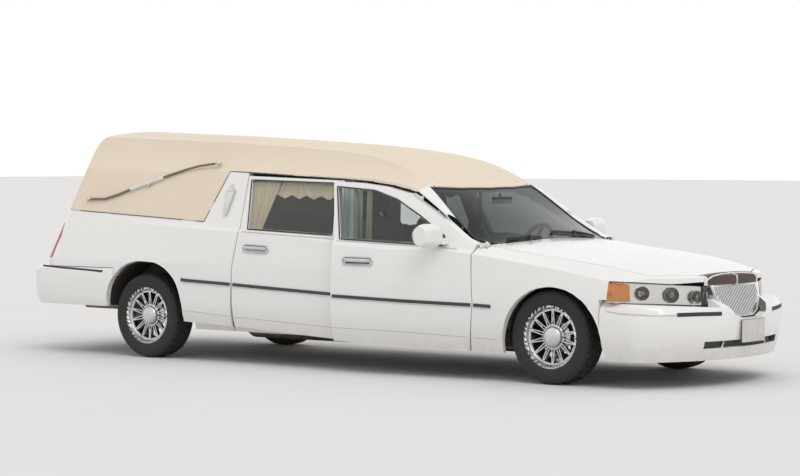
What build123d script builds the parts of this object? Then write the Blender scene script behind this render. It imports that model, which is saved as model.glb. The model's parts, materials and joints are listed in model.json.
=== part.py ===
"""Hearse on a long sedan chassis, as an assembly of separate pieces.

Frame: +X forward, +Y left, +Z up, origin on the ground at the middle of the
overall box. All lengths are in millimetres.
"""

from build123d import *
import math
import os

os.makedirs("parts", exist_ok=True)

# Overall sizes
WHEELBASE = 3860
FRONT_OVERHANG = 1100
REAR_OVERHANG = 1390
HALF_WIDTH = 988
LENGTH = FRONT_OVERHANG + WHEELBASE + REAR_OVERHANG
X_FRONT = LENGTH / 2 - FRONT_OVERHANG
X_REAR = X_FRONT - WHEELBASE
X_NOSE = X_FRONT + FRONT_OVERHANG
X_TAIL = X_REAR - REAR_OVERHANG

# Walls, gaps and fits
PANEL_GAP = 6
FRAME_GAP = 12
SWING_ROOM = 3
SIDE_WALL = 110
ROOF_WALL = 45
FENDER_WALL = 55
HOOD_WALL = 28
TAIL_WALL = 90
GLASS_DEPTH = 9
GLASS_THICK = 5
RUNNING_FIT = 0.05
SEAT_GAP = 0.3
LAMP_GAP = 0.8

# Wheels
TYRE_R = 333
TYRE_W = 225
RIM_R = 222
RIM_W = 190
BORE_R = 35
WHEEL_Y = 807
SPOKES = 14
KINGPIN_Y = 800

# Doors, measured along X
X_DOOR = X_FRONT - 611
FRONT_DOOR = 1220
REAR_DOOR = 1065
X_BPOST = X_DOOR - FRONT_DOOR
X_CPOST = X_BPOST - REAR_DOOR
AJAR = 5

# Heights
FLOOR_Z = 340
FLOOR_PLATE = 20
DECK_Z = 640
BUMPER_TOP = 700
SIDE_REACH = 1400
BELT_Z = 960

# Lower body sections from tail to nose. Columns: x, z of the bottom edge,
# inset of the bottom edge, inset and z of the widest line, inset and z of the
# shoulder crease, inset and z of the top edge, z of the crown.
LOWER_ROWS = (
    (X_TAIL + 60, 440, 60, 14, 660, 46, 990, 126, 1165, 1180),
    (X_REAR - 440, 375, 50, 4, 650, 33, 997, 122, 1135, 1150),
    (X_REAR + 460, 305, 45, 1, 620, 28, 994, 113, 1084, 1100),
    (X_CPOST, 285, 45, 0, 600, 28, 986, 70, 1035, 1045),
    (X_BPOST, 235, 45, 0, 580, 28, 945, 58, 982, 990),
    (X_DOOR - 650, 220, 45, 0, 565, 28, 915, 62, 950, 962),
    (X_DOOR, 206, 48, 3, 560, 30, 895, 150, 952, 995),
    (X_FRONT - 200, 205, 55, 8, 550, 36, 845, 186, 903, 957),
    (X_FRONT + 300, 205, 70, 22, 540, 55, 772, 196, 846, 905),
    (X_FRONT + 700, 205, 100, 52, 530, 88, 695, 246, 763, 830),
    (X_FRONT + 1000, 205, 140, 90, 520, 128, 640, 290, 706, 755),
)

# Upper body sections from tail to windshield foot. The roof takes the rows up
# to the glass header, and the windshield starts at the same row. Columns: x,
# z of the foot, inset of the foot, inset and z of the drip line, inset and z of
# the roof seam, bulge between them, z of the crown.
UPPER_ROWS = (
    (X_TAIL + 300, 950, 68, 233, 1482, 392, 1754, 18, 1801),
    (X_TAIL + 825, 950, 65, 232, 1477, 391, 1739, 18, 1784),
    (X_REAR - 40, 950, 62, 230, 1470, 390, 1722, 18, 1765),
    (X_CPOST - 490, 940, 50, 234, 1469, 392, 1702, 18, 1742),
    (X_CPOST, 930, 36, 238, 1468, 394, 1678, 18, 1716),
    (X_CPOST + 480, 915, 33, 238, 1455, 395, 1650, 18, 1686),
    (X_BPOST - 170, 900, 31, 238, 1437, 396, 1614, 17, 1648),
    (X_DOOR - 940, 900, 32, 236, 1405, 386, 1520, 15, 1562),
    (X_DOOR - 660, 900, 36, 224, 1352, 340, 1386, 6, 1412),
    (X_DOOR - 410, 900, 44, 190, 1200, 272, 1206, 4, 1270),
    (X_DOOR - 150, 900, 60, 135, 1030, 212, 1022, 4, 1122),
    (X_DOOR + 110, 900, 90, 128, 925, 210, 944, 4, 980),
)
HEADER_ROW = 8

# Outline of both ends at rising heights. Columns: z, x of the tail on the
# centre line, half width at the tail, corner radius at the tail, x of the nose.
END_ROWS = (
    (150, X_TAIL + 150, 972, 250, X_FRONT + 990),
    (760, X_TAIL + 160, 972, 250, X_FRONT + 965),
    (1130, X_TAIL + 318, 874, 200, X_FRONT + 930),
    (1620, X_TAIL + 468, 700, 150, X_FRONT + 930),
    (1705, X_TAIL + 512, 672, 150, X_FRONT + 930),
    (1765, X_TAIL + 585, 640, 150, X_FRONT + 930),
    (1830, X_TAIL + 720, 600, 150, X_FRONT + 930),
)
TAIL_BOW = 60


def lower_body(side_wall, top_wall):
    """Body below the belt, drawn in by a side wall and a top wall."""
    with BuildPart() as body:
        for row in LOWER_ROWS:
            x, z_low, in_low, in_wide, z_wide, in_crease, z_crease, in_edge, z_edge, z_crown = row
            low = HALF_WIDTH - in_low - side_wall
            wide = HALF_WIDTH - in_wide - side_wall
            crease = HALF_WIDTH - in_crease - side_wall
            edge = HALF_WIDTH - in_edge - side_wall
            z_low = z_low - side_wall / 2
            z_crease = z_crease - top_wall
            z_edge = z_edge - top_wall
            z_crown = z_crown - top_wall
            with BuildSketch(Plane.YZ.offset(x)):
                with BuildLine():
                    Line((-low, z_low), (low, z_low))
                    for side in (1, -1):
                        TangentArc((side * wide, z_wide), (side * low, z_low), tangent=(0, -1))
                        TangentArc((side * wide, z_wide), (side * crease, z_crease), tangent=(0, 1))
                        Line((side * crease, z_crease), (side * edge, z_edge))
                    ThreePointArc((edge, z_edge), (0, z_crown), (-edge, z_edge))
                make_face()
        loft()
    return body.part


def upper_body(wall, rows):
    """Body above the belt over some of its rows, drawn in by a wall."""
    with BuildPart() as body:
        for row in rows:
            x, z_foot, in_foot, in_drip, z_drip, in_seam, z_seam, bulge, z_crown = row
            if row == UPPER_ROWS[0]:
                x = x - wall
            if row == UPPER_ROWS[-1]:
                x = x + wall
            z_foot = z_foot - wall
            foot = HALF_WIDTH - in_foot - wall
            drip = HALF_WIDTH - in_drip - wall
            seam = HALF_WIDTH - in_seam - wall * 0.8
            z_seam = z_seam - wall * 0.7
            z_drip = z_drip - wall * 0.3
            with BuildSketch(Plane.YZ.offset(x)):
                with BuildLine():
                    Line((-foot, z_foot), (foot, z_foot))
                    for side in (1, -1):
                        Line((side * foot, z_foot), (side * drip, z_drip))
                        SagittaArc((side * drip, z_drip), (side * seam, z_seam), side * bulge)
                    ThreePointArc((seam, z_seam), (0, z_crown - wall), (-seam, z_seam))
                make_face()
        loft()
    return body.part


def end_envelope(side_wall, tail_wall):
    """Solid whose two ends give the plan shape of nose and tail."""
    with BuildPart() as envelope:
        for z, x_tail, half, corner, x_nose in END_ROWS:
            half = half - side_wall
            radius = corner - side_wall
            x_rear = x_tail + tail_wall
            x_corner = x_rear + TAIL_BOW
            with BuildSketch(Plane.XY.offset(z)):
                with BuildLine():
                    ThreePointArc((x_corner, radius - half), (x_rear, 0), (x_corner, half - radius))
                    ThreePointArc((x_nose - 40, -340), (x_nose, 0), (x_nose - 40, 340))
                    for side in (1, -1):
                        TangentArc(
                            (x_corner + radius, side * half),
                            (x_corner, side * (half - radius)),
                            tangent=(-1, 0),
                        )
                        Line((x_corner + radius, side * half), (x_nose - 540, side * (HALF_WIDTH + 5)))
                        Line((x_nose - 540, side * (HALF_WIDTH + 5)), (x_nose - 430, side * 938))
                        ThreePointArc(
                            (x_nose - 430, side * 938),
                            (x_nose - 205, side * 690),
                            (x_nose - 40, side * 340),
                        )
                make_face()
        loft(ruled=True)
    return envelope.part


def greenhouse(wall):
    """Roof, pillars and windshield in one, drawn in by a wall."""
    with BuildPart() as body:
        add(upper_body(wall, UPPER_ROWS[: HEADER_ROW + 1]))
        add(upper_body(wall, UPPER_ROWS[HEADER_ROW:]))
    return body.part


def block(x_rear, x_front, y_right, y_left, z_low, z_high):
    """Plain box between six planes."""
    y_right, y_left = sorted((y_right, y_left))
    with BuildPart() as box:
        with Locations(((x_rear + x_front) / 2, (y_right + y_left) / 2, (z_low + z_high) / 2)):
            Box(x_front - x_rear, y_left - y_right, z_high - z_low)
    return box.part


def side_prism(points, y_from=-SIDE_REACH, y_to=SIDE_REACH, grow=0):
    """Outline in the side view, carried across from one Y to another."""
    with BuildPart() as prism:
        with BuildSketch(Plane.XZ.offset(-y_to)):
            with BuildLine():
                Polyline(*points, close=True)
            make_face()
            if grow:
                offset(amount=grow, kind=Kind.INTERSECTION)
        extrude(amount=y_to - y_from)
    return prism.part


def front_prism(points, x_from, x_to, grow=0):
    """Outline in the front view, carried along from one X to another."""
    with BuildPart() as prism:
        with BuildSketch(Plane.YZ.offset(x_from)):
            with BuildLine():
                Polyline(*points, close=True)
            make_face()
            if grow:
                offset(amount=grow, kind=Kind.INTERSECTION)
        extrude(amount=x_to - x_from)
    return prism.part


def plan_prism(points, z_low, z_high, grow=0):
    """Outline in the plan view, carried up from one Z to another."""
    with BuildPart() as prism:
        with BuildSketch(Plane.XY.offset(z_low)):
            with BuildLine():
                Polyline(*points, close=True)
            make_face()
            if grow:
                offset(amount=grow, kind=Kind.INTERSECTION)
        extrude(amount=z_high - z_low)
    return prism.part


def mirrored_front(points):
    """Front outline given for the left side, as Y and Z, closed by its mirror."""
    return list(points) + [(-a, b) for a, b in reversed(points) if a > 0]


def both_sides(points):
    """Plan outline given for the left side, as X and Y, closed by its mirror."""
    return list(points) + [(a, -b) for a, b in reversed(points) if b > 0]


def save(piece, name):
    """Label a piece and write it under its name."""
    piece.label = name
    export_step(piece, f"parts/{name}.step")


# Outlines in the side view, as X and Z
DOOR_TOP = (
    (X_DOOR - 32, 965),
    (X_DOOR - 150, 1024),
    (X_DOOR - 410, 1188),
    (X_DOOR - 660, 1325),
    (X_DOOR - 870, 1372),
    (X_DOOR - 1080, 1397),
    (X_BPOST - 118, 1408),
)
FRONT_DOOR_LINE = (
    (X_BPOST, 200),
    (X_DOOR - 44, 190),
    (X_DOOR, 545),
    *DOOR_TOP,
    (X_BPOST, 950),
)
REAR_DOOR_LINE = (
    (X_CPOST - 22, 240),
    (X_BPOST - SWING_ROOM, 200),
    (X_BPOST - SWING_ROOM, 820),
    (X_BPOST - SWING_ROOM - 6, 950),
    (X_BPOST - 118 - FRAME_GAP + PANEL_GAP, 1412),
    (X_CPOST - 8, 1442),
    (X_CPOST + 33, 1007),
    (X_CPOST, 700),
)
FRONT_WINDOW = (
    (X_BPOST + 48, 990),
    (X_DOOR - 300, 956),
    (X_DOOR - 300, 1014),
    (X_DOOR - 540, 1158),
    (X_DOOR - 750, 1270),
    (X_DOOR - 960, 1334),
    (X_BPOST - 68, 1360),
)
REAR_WINDOW = (
    (X_CPOST + 112, 1040),
    (X_BPOST - 128, 1010),
    (X_BPOST - 210, 1383),
    (X_CPOST + 36, 1402),
)
VINYL_LINE = (
    (X_DOOR - 645, 1331),
    (X_DOOR - 870, 1378),
    (X_DOOR - 1080, 1403),
    (X_BPOST - 118, 1420),
    (X_CPOST - 8, 1466),
    (X_CPOST - 210, 1472),
    (X_CPOST - 362, 1084),
    (X_REAR - 896, 1156),
    (X_TAIL - 60, 1166),
    (X_TAIL - 60, 1900),
    (X_DOOR - 645, 1900),
)

# Plan outlines, left half, as X and Y
HOOD_HALF = (
    (X_DOOR + 150, 0),
    (X_DOOR + 118, 400),
    (X_DOOR + 60, 800),
    (X_FRONT + 300, 792),
    (X_FRONT + 560, 752),
    (X_FRONT + 700, 700),
    (X_FRONT + 868, 368),
    (X_FRONT + 884, 0),
)
GLASS_HALF = (
    (X_DOOR - 565, 0),
    (X_DOOR - 585, 330),
    (X_DOOR - 640, 648),
    (X_DOOR - 110, 792),
    (X_DOOR + 140, 640),
    (X_DOOR + 140, 0),
)

# Wheel arch outlines about each axle, as X and Z. Both run down past the sill.
ARCH_FRONT_R = 415
ARCH_FRONT_X = 45
ARCH_FRONT_Z = 275
ARCH_REAR_X = 30
ARCH_REAR_W = 408
ARCH_REAR_TOP = 767


def front_arch(y_from, y_to, grow=0):
    """Front wheel opening as a solid."""
    radius = ARCH_FRONT_R + grow
    x = X_FRONT + ARCH_FRONT_X
    with BuildPart() as arch:
        with BuildSketch(Plane.XZ.offset(-y_to)):
            with BuildLine():
                RadiusArc((x - radius, ARCH_FRONT_Z), (x + radius, ARCH_FRONT_Z), radius)
                Polyline(
                    (x - radius, ARCH_FRONT_Z),
                    (x - radius, 100),
                    (x + radius + 60, 100),
                    (x + radius, ARCH_FRONT_Z),
                )
            make_face()
        extrude(amount=y_to - y_from)
    return arch.part


def rear_arch(y_from, y_to, grow=0):
    """Rear wheel opening as a solid, flatter on top than a circle."""
    half = ARCH_REAR_W + grow
    top = ARCH_REAR_TOP + grow
    x = X_REAR + ARCH_REAR_X
    spring = top - 385
    with BuildPart() as arch:
        with BuildSketch(Plane.XZ.offset(-y_to)):
            with BuildLine():
                ThreePointArc((x - half, spring), (x - half + 97, top - 112), (x - 90, top - 4))
                ThreePointArc((x - 90, top - 4), (x, top), (x + 90, top - 4))
                ThreePointArc((x + 90, top - 4), (x + half - 97, top - 112), (x + half, spring))
                Polyline((x - half, spring), (x - half, 100), (x + half, 100), (x + half, spring))
            make_face()
        extrude(amount=y_to - y_from)
    return arch.part


# Master shapes: the outside, the hollow cabin and the hollow engine bay
with BuildPart() as outer:
    add(lower_body(0, 0))
    add(greenhouse(0))
    add(end_envelope(0, 0), mode=Mode.INTERSECT)

with BuildPart() as cabin:
    add(lower_body(SIDE_WALL, -30))
    add(greenhouse(ROOF_WALL))
    add(end_envelope(ROOF_WALL, TAIL_WALL), mode=Mode.INTERSECT)
    add(block(X_TAIL, X_DOOR, -SIDE_REACH, SIDE_REACH, FLOOR_Z, 3000), mode=Mode.INTERSECT)

with BuildPart() as bay:
    add(lower_body(FENDER_WALL, HOOD_WALL))
    add(block(X_DOOR + 40, X_NOSE, -SIDE_REACH, SIDE_REACH, 100, 1100), mode=Mode.INTERSECT)

with BuildPart() as shell:
    add(outer.part)
    add(cabin.part, mode=Mode.SUBTRACT)

with BuildPart() as front_end:
    add(lower_body(0, 0))
    add(end_envelope(0, 0), mode=Mode.INTERSECT)
    add(block(X_DOOR - 45, X_NOSE + 50, -SIDE_REACH, SIDE_REACH, 0, 1200), mode=Mode.INTERSECT)
with BuildPart() as front_shell:
    add(front_end.part)
    add(bay.part, mode=Mode.SUBTRACT)

glass_cut = plan_prism(both_sides(GLASS_HALF), 800, 2000)
glass_room = plan_prism(both_sides(GLASS_HALF), 940, 2000, grow=PANEL_GAP)
with BuildPart() as glass_layer:
    add(greenhouse(GLASS_DEPTH))
    add(greenhouse(GLASS_DEPTH + GLASS_THICK), mode=Mode.SUBTRACT)

DOOR_INNER_Y = HALF_WIDTH - SIDE_WALL
under_floor = block(X_TAIL, X_NOSE, -DOOR_INNER_Y, DOOR_INNER_Y, 0, FLOOR_Z + 60)


def door(outline, window, x_hinge, reach):
    """Left side door: panel and window frame, its rear edge rounded to swing clear."""
    with BuildPart() as sweep_room:
        add(block(x_hinge - reach - 200, x_hinge - reach * 0.9, 700, SIDE_REACH, 0, BELT_Z))
        with Locations((x_hinge, HALF_WIDTH, BELT_Z / 2)):
            Cylinder(reach, BELT_Z + 10, mode=Mode.SUBTRACT)
    with BuildPart() as panel:
        add(shell.part)
        add(side_prism(outline, 0, SIDE_REACH, grow=-PANEL_GAP / 2), mode=Mode.INTERSECT)
        add(under_floor, mode=Mode.SUBTRACT)
        add(side_prism(window, 0, SIDE_REACH), mode=Mode.SUBTRACT)
        add(sweep_room.part, mode=Mode.SUBTRACT)
        add(glass_room, mode=Mode.SUBTRACT)
    return panel.part


def door_glass(window):
    """Pane in a left door's window."""
    with BuildPart() as pane:
        add(glass_layer.part)
        add(side_prism(window, 0, SIDE_REACH), mode=Mode.INTERSECT)
    return pane.part


def mirrored(piece):
    """The same piece on the other side."""
    return piece.mirror(Plane.XZ)


def swing_ajar(piece):
    """Turn a closed right front door to the place where it stands ajar."""
    return piece.rotate(Axis((X_DOOR, -HALF_WIDTH, 0), (0, 0, 1)), AJAR)


# Mirror housing, carried by a foot at the corner of the front window
MIRROR_X = X_DOOR - 318
MIRROR_Y = 1070
MIRROR_Z = 1025
with BuildPart() as mirror_left:
    with BuildSketch(Plane.XZ.offset(-(MIRROR_Y - 105))):
        with Locations((MIRROR_X, MIRROR_Z)):
            RectangleRounded(120, 130, 40)
    with BuildSketch(Plane.XZ.offset(-(MIRROR_Y + 20))):
        with Locations((MIRROR_X, MIRROR_Z)):
            RectangleRounded(150, 170, 55)
    with BuildSketch(Plane.XZ.offset(-(MIRROR_Y + 95))):
        with Locations((MIRROR_X - 12, MIRROR_Z)):
            RectangleRounded(100, 130, 45)
    loft()
    add(block(MIRROR_X + 26, MIRROR_X + 72, 880, MIRROR_Y - 70, MIRROR_Z - 62, MIRROR_Z - 18))

front_door_closed = door(FRONT_DOOR_LINE, FRONT_WINDOW, X_DOOR, FRONT_DOOR - PANEL_GAP / 2)
with BuildPart() as door_front_left:
    add(front_door_closed)
    add(mirror_left.part)
with BuildPart() as door_front_right:
    add(swing_ajar(mirrored(door_front_left.part)))
with BuildPart() as door_rear_left:
    add(door(REAR_DOOR_LINE, REAR_WINDOW, X_BPOST, REAR_DOOR - PANEL_GAP / 2))
with BuildPart() as door_rear_right:
    add(mirrored(door_rear_left.part))
save(door_front_left.part, "door_front_left")
save(door_front_right.part, "door_front_right")
save(door_rear_left.part, "door_rear_left")
save(door_rear_right.part, "door_rear_right")

with BuildPart() as glass_front_left:
    add(door_glass(FRONT_WINDOW))
with BuildPart() as glass_front_right:
    add(swing_ajar(mirrored(glass_front_left.part)))
with BuildPart() as glass_rear_left:
    add(door_glass(REAR_WINDOW))
with BuildPart() as glass_rear_right:
    add(mirrored(glass_rear_left.part))
save(glass_front_left.part, "glass_front_left")
save(glass_front_right.part, "glass_front_right")
save(glass_rear_left.part, "glass_rear_left")
save(glass_rear_right.part, "glass_rear_right")

# Curtains inside the rear windows, between the glass and the inner face
CURTAIN_DEPTH = 24
CURTAIN_THICK = 14
with BuildPart() as curtain_left:
    add(greenhouse(CURTAIN_DEPTH))
    add(greenhouse(CURTAIN_DEPTH + CURTAIN_THICK), mode=Mode.SUBTRACT)
    add(side_prism(REAR_WINDOW, 0, SIDE_REACH, grow=-SEAT_GAP), mode=Mode.INTERSECT)
with BuildPart() as curtain_right:
    add(mirrored(curtain_left.part))
save(curtain_left.part, "curtain_left")
save(curtain_right.part, "curtain_right")

# Roof shell with the vinyl sides, cut for the rear door and the windshield
REAR_DOOR_W = 545
REAR_DOOR_LOW = 765
REAR_DOOR_HIGH = 1662
REAR_DOOR_LINE_YZ = (
    (-REAR_DOOR_W, REAR_DOOR_LOW),
    (REAR_DOOR_W, REAR_DOOR_LOW),
    (REAR_DOOR_W, REAR_DOOR_HIGH - 60),
    (REAR_DOOR_W - 60, REAR_DOOR_HIGH),
    (-REAR_DOOR_W + 60, REAR_DOOR_HIGH),
    (-REAR_DOOR_W, REAR_DOOR_HIGH - 60),
)
REAR_WINDOW_YZ = ((-410, 1190), (410, 1190), (390, 1520), (-390, 1520))
X_DOOR_END = X_TAIL + 760

# The rear door swings on an axis that leans with the tail, so its edges run square to that axis
DOOR_LEAN = math.radians(21.1)
DOOR_AXIS_X = X_REAR - 1207
DOOR_AXIS_Y = REAR_DOOR_W + 4
DOOR_AXIS_Z = 750
tail_plane = Plane(
    origin=(DOOR_AXIS_X, 0, DOOR_AXIS_Z),
    x_dir=(0, 1, 0),
    z_dir=(math.cos(DOOR_LEAN), 0, -math.sin(DOOR_LEAN)),
)


def tail_prism(points, grow=0):
    """Outline in Y and Z laid on the leaning tail, as a solid through its wall."""
    laid = [(y, (z - DOOR_AXIS_Z) / math.cos(DOOR_LEAN)) for y, z in points]
    with BuildPart() as solid:
        with BuildSketch(tail_plane.offset(-100)):
            with BuildLine():
                Polyline(*laid, close=True)
            make_face()
            if grow:
                offset(amount=grow, kind=Kind.INTERSECTION)
        extrude(amount=260)
    return solid.part


rear_opening = tail_prism(REAR_DOOR_LINE_YZ, grow=PANEL_GAP / 2)
with BuildPart() as door_reach:
    with BuildSketch(
        Plane(
            origin=(DOOR_AXIS_X, DOOR_AXIS_Y, DOOR_AXIS_Z),
            z_dir=(math.sin(DOOR_LEAN), 0, math.cos(DOOR_LEAN)),
        ).offset(-300)
    ):
        Circle(2 * REAR_DOOR_W - 1)
    extrude(amount=1700)

# Hinge leaf beside the rear door, behind its inner face
with BuildPart() as leaf_fixed:
    add(end_envelope(ROOF_WALL, TAIL_WALL - 12))
    add(block(X_TAIL, X_TAIL + 600, REAR_DOOR_W + PANEL_GAP, 640, 1200, 1330), mode=Mode.INTERSECT)
with BuildPart() as leaf_edge:
    add(end_envelope(ROOF_WALL, TAIL_WALL + SEAT_GAP))
    add(block(X_TAIL, X_TAIL + 600, REAR_DOOR_W - 25, 640, 1200, 1330), mode=Mode.INTERSECT)
with BuildPart() as load_door_leaf:
    add(leaf_fixed.part)
    add(leaf_edge.part)
    add(end_envelope(ROOF_WALL, TAIL_WALL + 16), mode=Mode.SUBTRACT)

with BuildPart() as roof:
    add(shell.part)
    add(side_prism(VINYL_LINE), mode=Mode.INTERSECT)
    add(
        shell.part & block(X_DOOR - 645, X_DOOR - 500, -594, 594, 1300, 1500),
        mode=Mode.ADD,
    )
    add(glass_cut, mode=Mode.SUBTRACT)
    add(rear_opening, mode=Mode.SUBTRACT)
    add(load_door_leaf.part)
save(roof.part, "roof")

with BuildPart() as rear_door:
    add(shell.part)
    add(tail_prism(REAR_DOOR_LINE_YZ, grow=-PANEL_GAP / 2), mode=Mode.INTERSECT)
    add(front_prism(REAR_WINDOW_YZ, X_TAIL - 50, X_DOOR_END), mode=Mode.SUBTRACT)
    add(door_reach.part, mode=Mode.INTERSECT)
save(rear_door.part, "rear_door")

with BuildPart() as rear_door_glass:
    add(front_prism(REAR_WINDOW_YZ, X_TAIL - 50, X_DOOR_END))
    add(end_envelope(0, GLASS_DEPTH), mode=Mode.INTERSECT)
    add(end_envelope(0, GLASS_DEPTH + GLASS_THICK), mode=Mode.SUBTRACT)
save(rear_door_glass.part, "rear_door_glass")

# Windshield, seated on the cowl and the pillars
with BuildPart() as windshield:
    add(glass_layer.part)
    add(glass_cut, mode=Mode.INTERSECT)
    add(lower_body(0, 0), mode=Mode.SUBTRACT)
save(windshield.part, "windshield")

# Rear quarter panels, white below the vinyl, and the panel under the rear door
TAIL_LAMP_LINE = (
    (X_REAR - 948, 1048),
    (X_REAR - 944, 940),
    (X_REAR - 980, 860),
    (X_REAR - 1003, 767),
    (X_TAIL - 100, 767),
    (X_TAIL - 100, 1048),
)
TAIL_LAMP_Y = 790
QUARTER_LINE = (
    (X_CPOST - 22 - SWING_ROOM, 230),
    (X_CPOST - SWING_ROOM, 700),
    (X_CPOST + 33 - SWING_ROOM, 1007),
    (X_CPOST - 8 - FRAME_GAP + PANEL_GAP, 1466),
    (X_CPOST - 210, 1472),
    (X_CPOST - 362, 1084),
    (X_REAR - 896, 1156),
    (X_TAIL - 60, 1166),
    (X_TAIL - 60, BUMPER_TOP + 2),
    (X_REAR - 300, BUMPER_TOP + 2),
    (X_REAR - 300, 230),
)
tail_lamp_zone = side_prism(TAIL_LAMP_LINE, TAIL_LAMP_Y, SIDE_REACH)
tail_lamp_cut = side_prism(TAIL_LAMP_LINE, TAIL_LAMP_Y - LAMP_GAP, SIDE_REACH, grow=LAMP_GAP)
with BuildPart() as quarter_left:
    add(shell.part)
    add(side_prism(QUARTER_LINE, 0, SIDE_REACH, grow=-PANEL_GAP / 2), mode=Mode.INTERSECT)
    add(under_floor, mode=Mode.SUBTRACT)
    add(rear_arch(0, SIDE_REACH), mode=Mode.SUBTRACT)
    add(rear_opening, mode=Mode.SUBTRACT)
    add(tail_lamp_cut, mode=Mode.SUBTRACT)
with BuildPart() as quarter_panels:
    add(quarter_left.part)
    add(mirrored(quarter_left.part))
save(quarter_panels.part, "quarter_panels")

with BuildPart() as tail_lamp:
    add(outer.part)
    add(tail_lamp_zone, mode=Mode.INTERSECT)
with BuildPart() as tail_lamps:
    add(tail_lamp.part)
    add(mirrored(tail_lamp.part))
save(tail_lamps.part, "tail_lamps")

# Hood, on a pair of hinges at its rear corners
hood_zone = plan_prism(both_sides(HOOD_HALF), 640, 1200, grow=-PANEL_GAP / 2)
hood_cut = plan_prism(both_sides(HOOD_HALF), 640, 1200, grow=PANEL_GAP / 2)
with BuildPart() as hood:
    add(front_shell.part)
    add(hood_zone, mode=Mode.INTERSECT)
save(hood.part, "hood")

# Headlamps: a slanted band across the nose on each side
LAMP_BAND = ((338, 552), (338, 694), (960, 743), (960, 590))
LAMP_PLAN = (
    (X_FRONT + 498, 1000),
    (X_FRONT + 498, 800),
    (X_FRONT + 640, 640),
    (X_FRONT + 800, 320),
    (X_NOSE + 50, 320),
    (X_NOSE + 50, 1000),
)
with BuildPart() as lamp_left:
    add(outer.part)
    add(front_prism(LAMP_BAND, X_FRONT + 400, X_NOSE), mode=Mode.INTERSECT)
    add(plan_prism(LAMP_PLAN, 400, 900), mode=Mode.INTERSECT)
with BuildPart() as headlamps:
    add(lamp_left.part)
    add(mirrored(lamp_left.part))
save(headlamps.part, "headlamps")
with BuildPart() as left_cut:
    add(front_prism(LAMP_BAND, X_FRONT + 400, X_NOSE, grow=LAMP_GAP))
    add(plan_prism(LAMP_PLAN, 400, 900, grow=LAMP_GAP), mode=Mode.INTERSECT)
with BuildPart() as lamp_cut:
    add(left_cut.part)
    add(mirrored(left_cut.part))

# Grille shield with its header, standing in a notch of bumper and nose
GRILLE_FACE = (
    (X_FRONT + 868, 700),
    (X_FRONT + 940, 700),
    (X_FRONT + 1022, 478),
    (X_FRONT + 950, 470),
)
GRILLE_HALF = ((0, 470), (120, 472), (205, 500), (290, 590), (332, 702), (0, 702))
GRILLE_BARS = 27
GRILLE_PITCH = 21
GRILLE_SLOT = 9
with BuildPart() as grille:
    add(side_prism(GRILLE_FACE, -400, 400))
    add(front_prism(mirrored_front(GRILLE_HALF), X_FRONT + 800, X_NOSE), mode=Mode.INTERSECT)
    for number in range(GRILLE_BARS):
        y = (number - (GRILLE_BARS - 1) / 2) * GRILLE_PITCH
        top = 688
        low = 482 + (abs(y) / 300) ** 3 * 190
        add(
            block(X_FRONT + 925, X_NOSE, y - GRILLE_SLOT / 2, y + GRILLE_SLOT / 2, low, top),
            mode=Mode.SUBTRACT,
        )
    add(outer.part & block(X_FRONT + 888, X_NOSE, -365, 365, 700, 800))
save(grille.part, "grille")
grille_cut = front_prism(mirrored_front(GRILLE_HALF), X_FRONT + 860, X_NOSE + 50, grow=LAMP_GAP)
header_cut = block(X_FRONT + 860, X_NOSE, -365 - LAMP_GAP, 365 + LAMP_GAP, 690, 820)

# Front bumper cover: outlines at rising heights. Columns: z and inset.
BUMPER_ROWS = ((190, 42), (300, 14), (420, 0), (520, 2), (560, 22), (606, 96))
BUMPER_WALL = 50
BUMPER_BACK = 9


def front_bumper_solid(rows, wall):
    """Bumper volume, drawn in by a wall."""
    with BuildPart() as solid:
        for z, inset in rows:
            draw = inset + wall
            side_draw = inset * 0.7 + wall
            with BuildSketch(Plane.XY.offset(z)):
                with BuildLine():
                    ThreePointArc(
                        (X_FRONT + 896 - draw, -757 + side_draw),
                        (X_NOSE - BUMPER_BACK - draw, 0),
                        (X_FRONT + 896 - draw, 757 - side_draw),
                    )
                    for side in (1, -1):
                        ThreePointArc(
                            (X_FRONT + 896 - draw, side * (757 - side_draw)),
                            (X_FRONT + 820 - draw * 0.7, side * (853 - side_draw)),
                            (X_FRONT + 665 - draw * 0.4, side * (934 - side_draw)),
                        )
                        Line(
                            (X_FRONT + 665 - draw * 0.4, side * (934 - side_draw)),
                            (X_FRONT + 400, side * (962 - side_draw)),
                        )
                    Line((X_FRONT + 400, -962 + side_draw), (X_FRONT + 400, 962 - side_draw))
                make_face()
        loft(ruled=True)
    return solid.part


with BuildPart() as bumper_front:
    add(front_bumper_solid(BUMPER_ROWS, 0))
    add(
        front_bumper_solid(((150, 42), (240, 14), (420, 0), (520, 2), (548, 22)), BUMPER_WALL),
        mode=Mode.SUBTRACT,
    )
    add(front_arch(-SIDE_REACH, SIDE_REACH), mode=Mode.SUBTRACT)
    add(lamp_cut.part, mode=Mode.SUBTRACT)
    add(grille_cut, mode=Mode.SUBTRACT)
    add(block(X_FRONT + 900, X_NOSE + 10, -490, 490, 272, 322), mode=Mode.SUBTRACT)
    add(block(X_FRONT + 300, X_FRONT + 443, -SIDE_REACH, SIDE_REACH, 0, 700), mode=Mode.SUBTRACT)
    add(block(X_FRONT + 440, X_FRONT + 780, -600, 600, 400, 700), mode=Mode.SUBTRACT)
    for side in (1, -1):
        add(block(X_FRONT + 800 + SEAT_GAP, X_FRONT + 995, side * 430, side * 490, 345, 420))
save(bumper_front.part, "bumper_front")

# Lower and rear edge of the windshield pillar, as X and Z
PILLAR_LINE = (
    (X_DOOR - 645, 1331 + 4),
    (X_DOOR - 410, 1188 + 7),
    (X_DOOR - 150, 1024 + 7),
    (X_DOOR - 30, 972),
    (X_DOOR - 2, 940),
    (X_DOOR - 2, 1200),
    (X_DOOR - 645, 1600),
)

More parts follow.
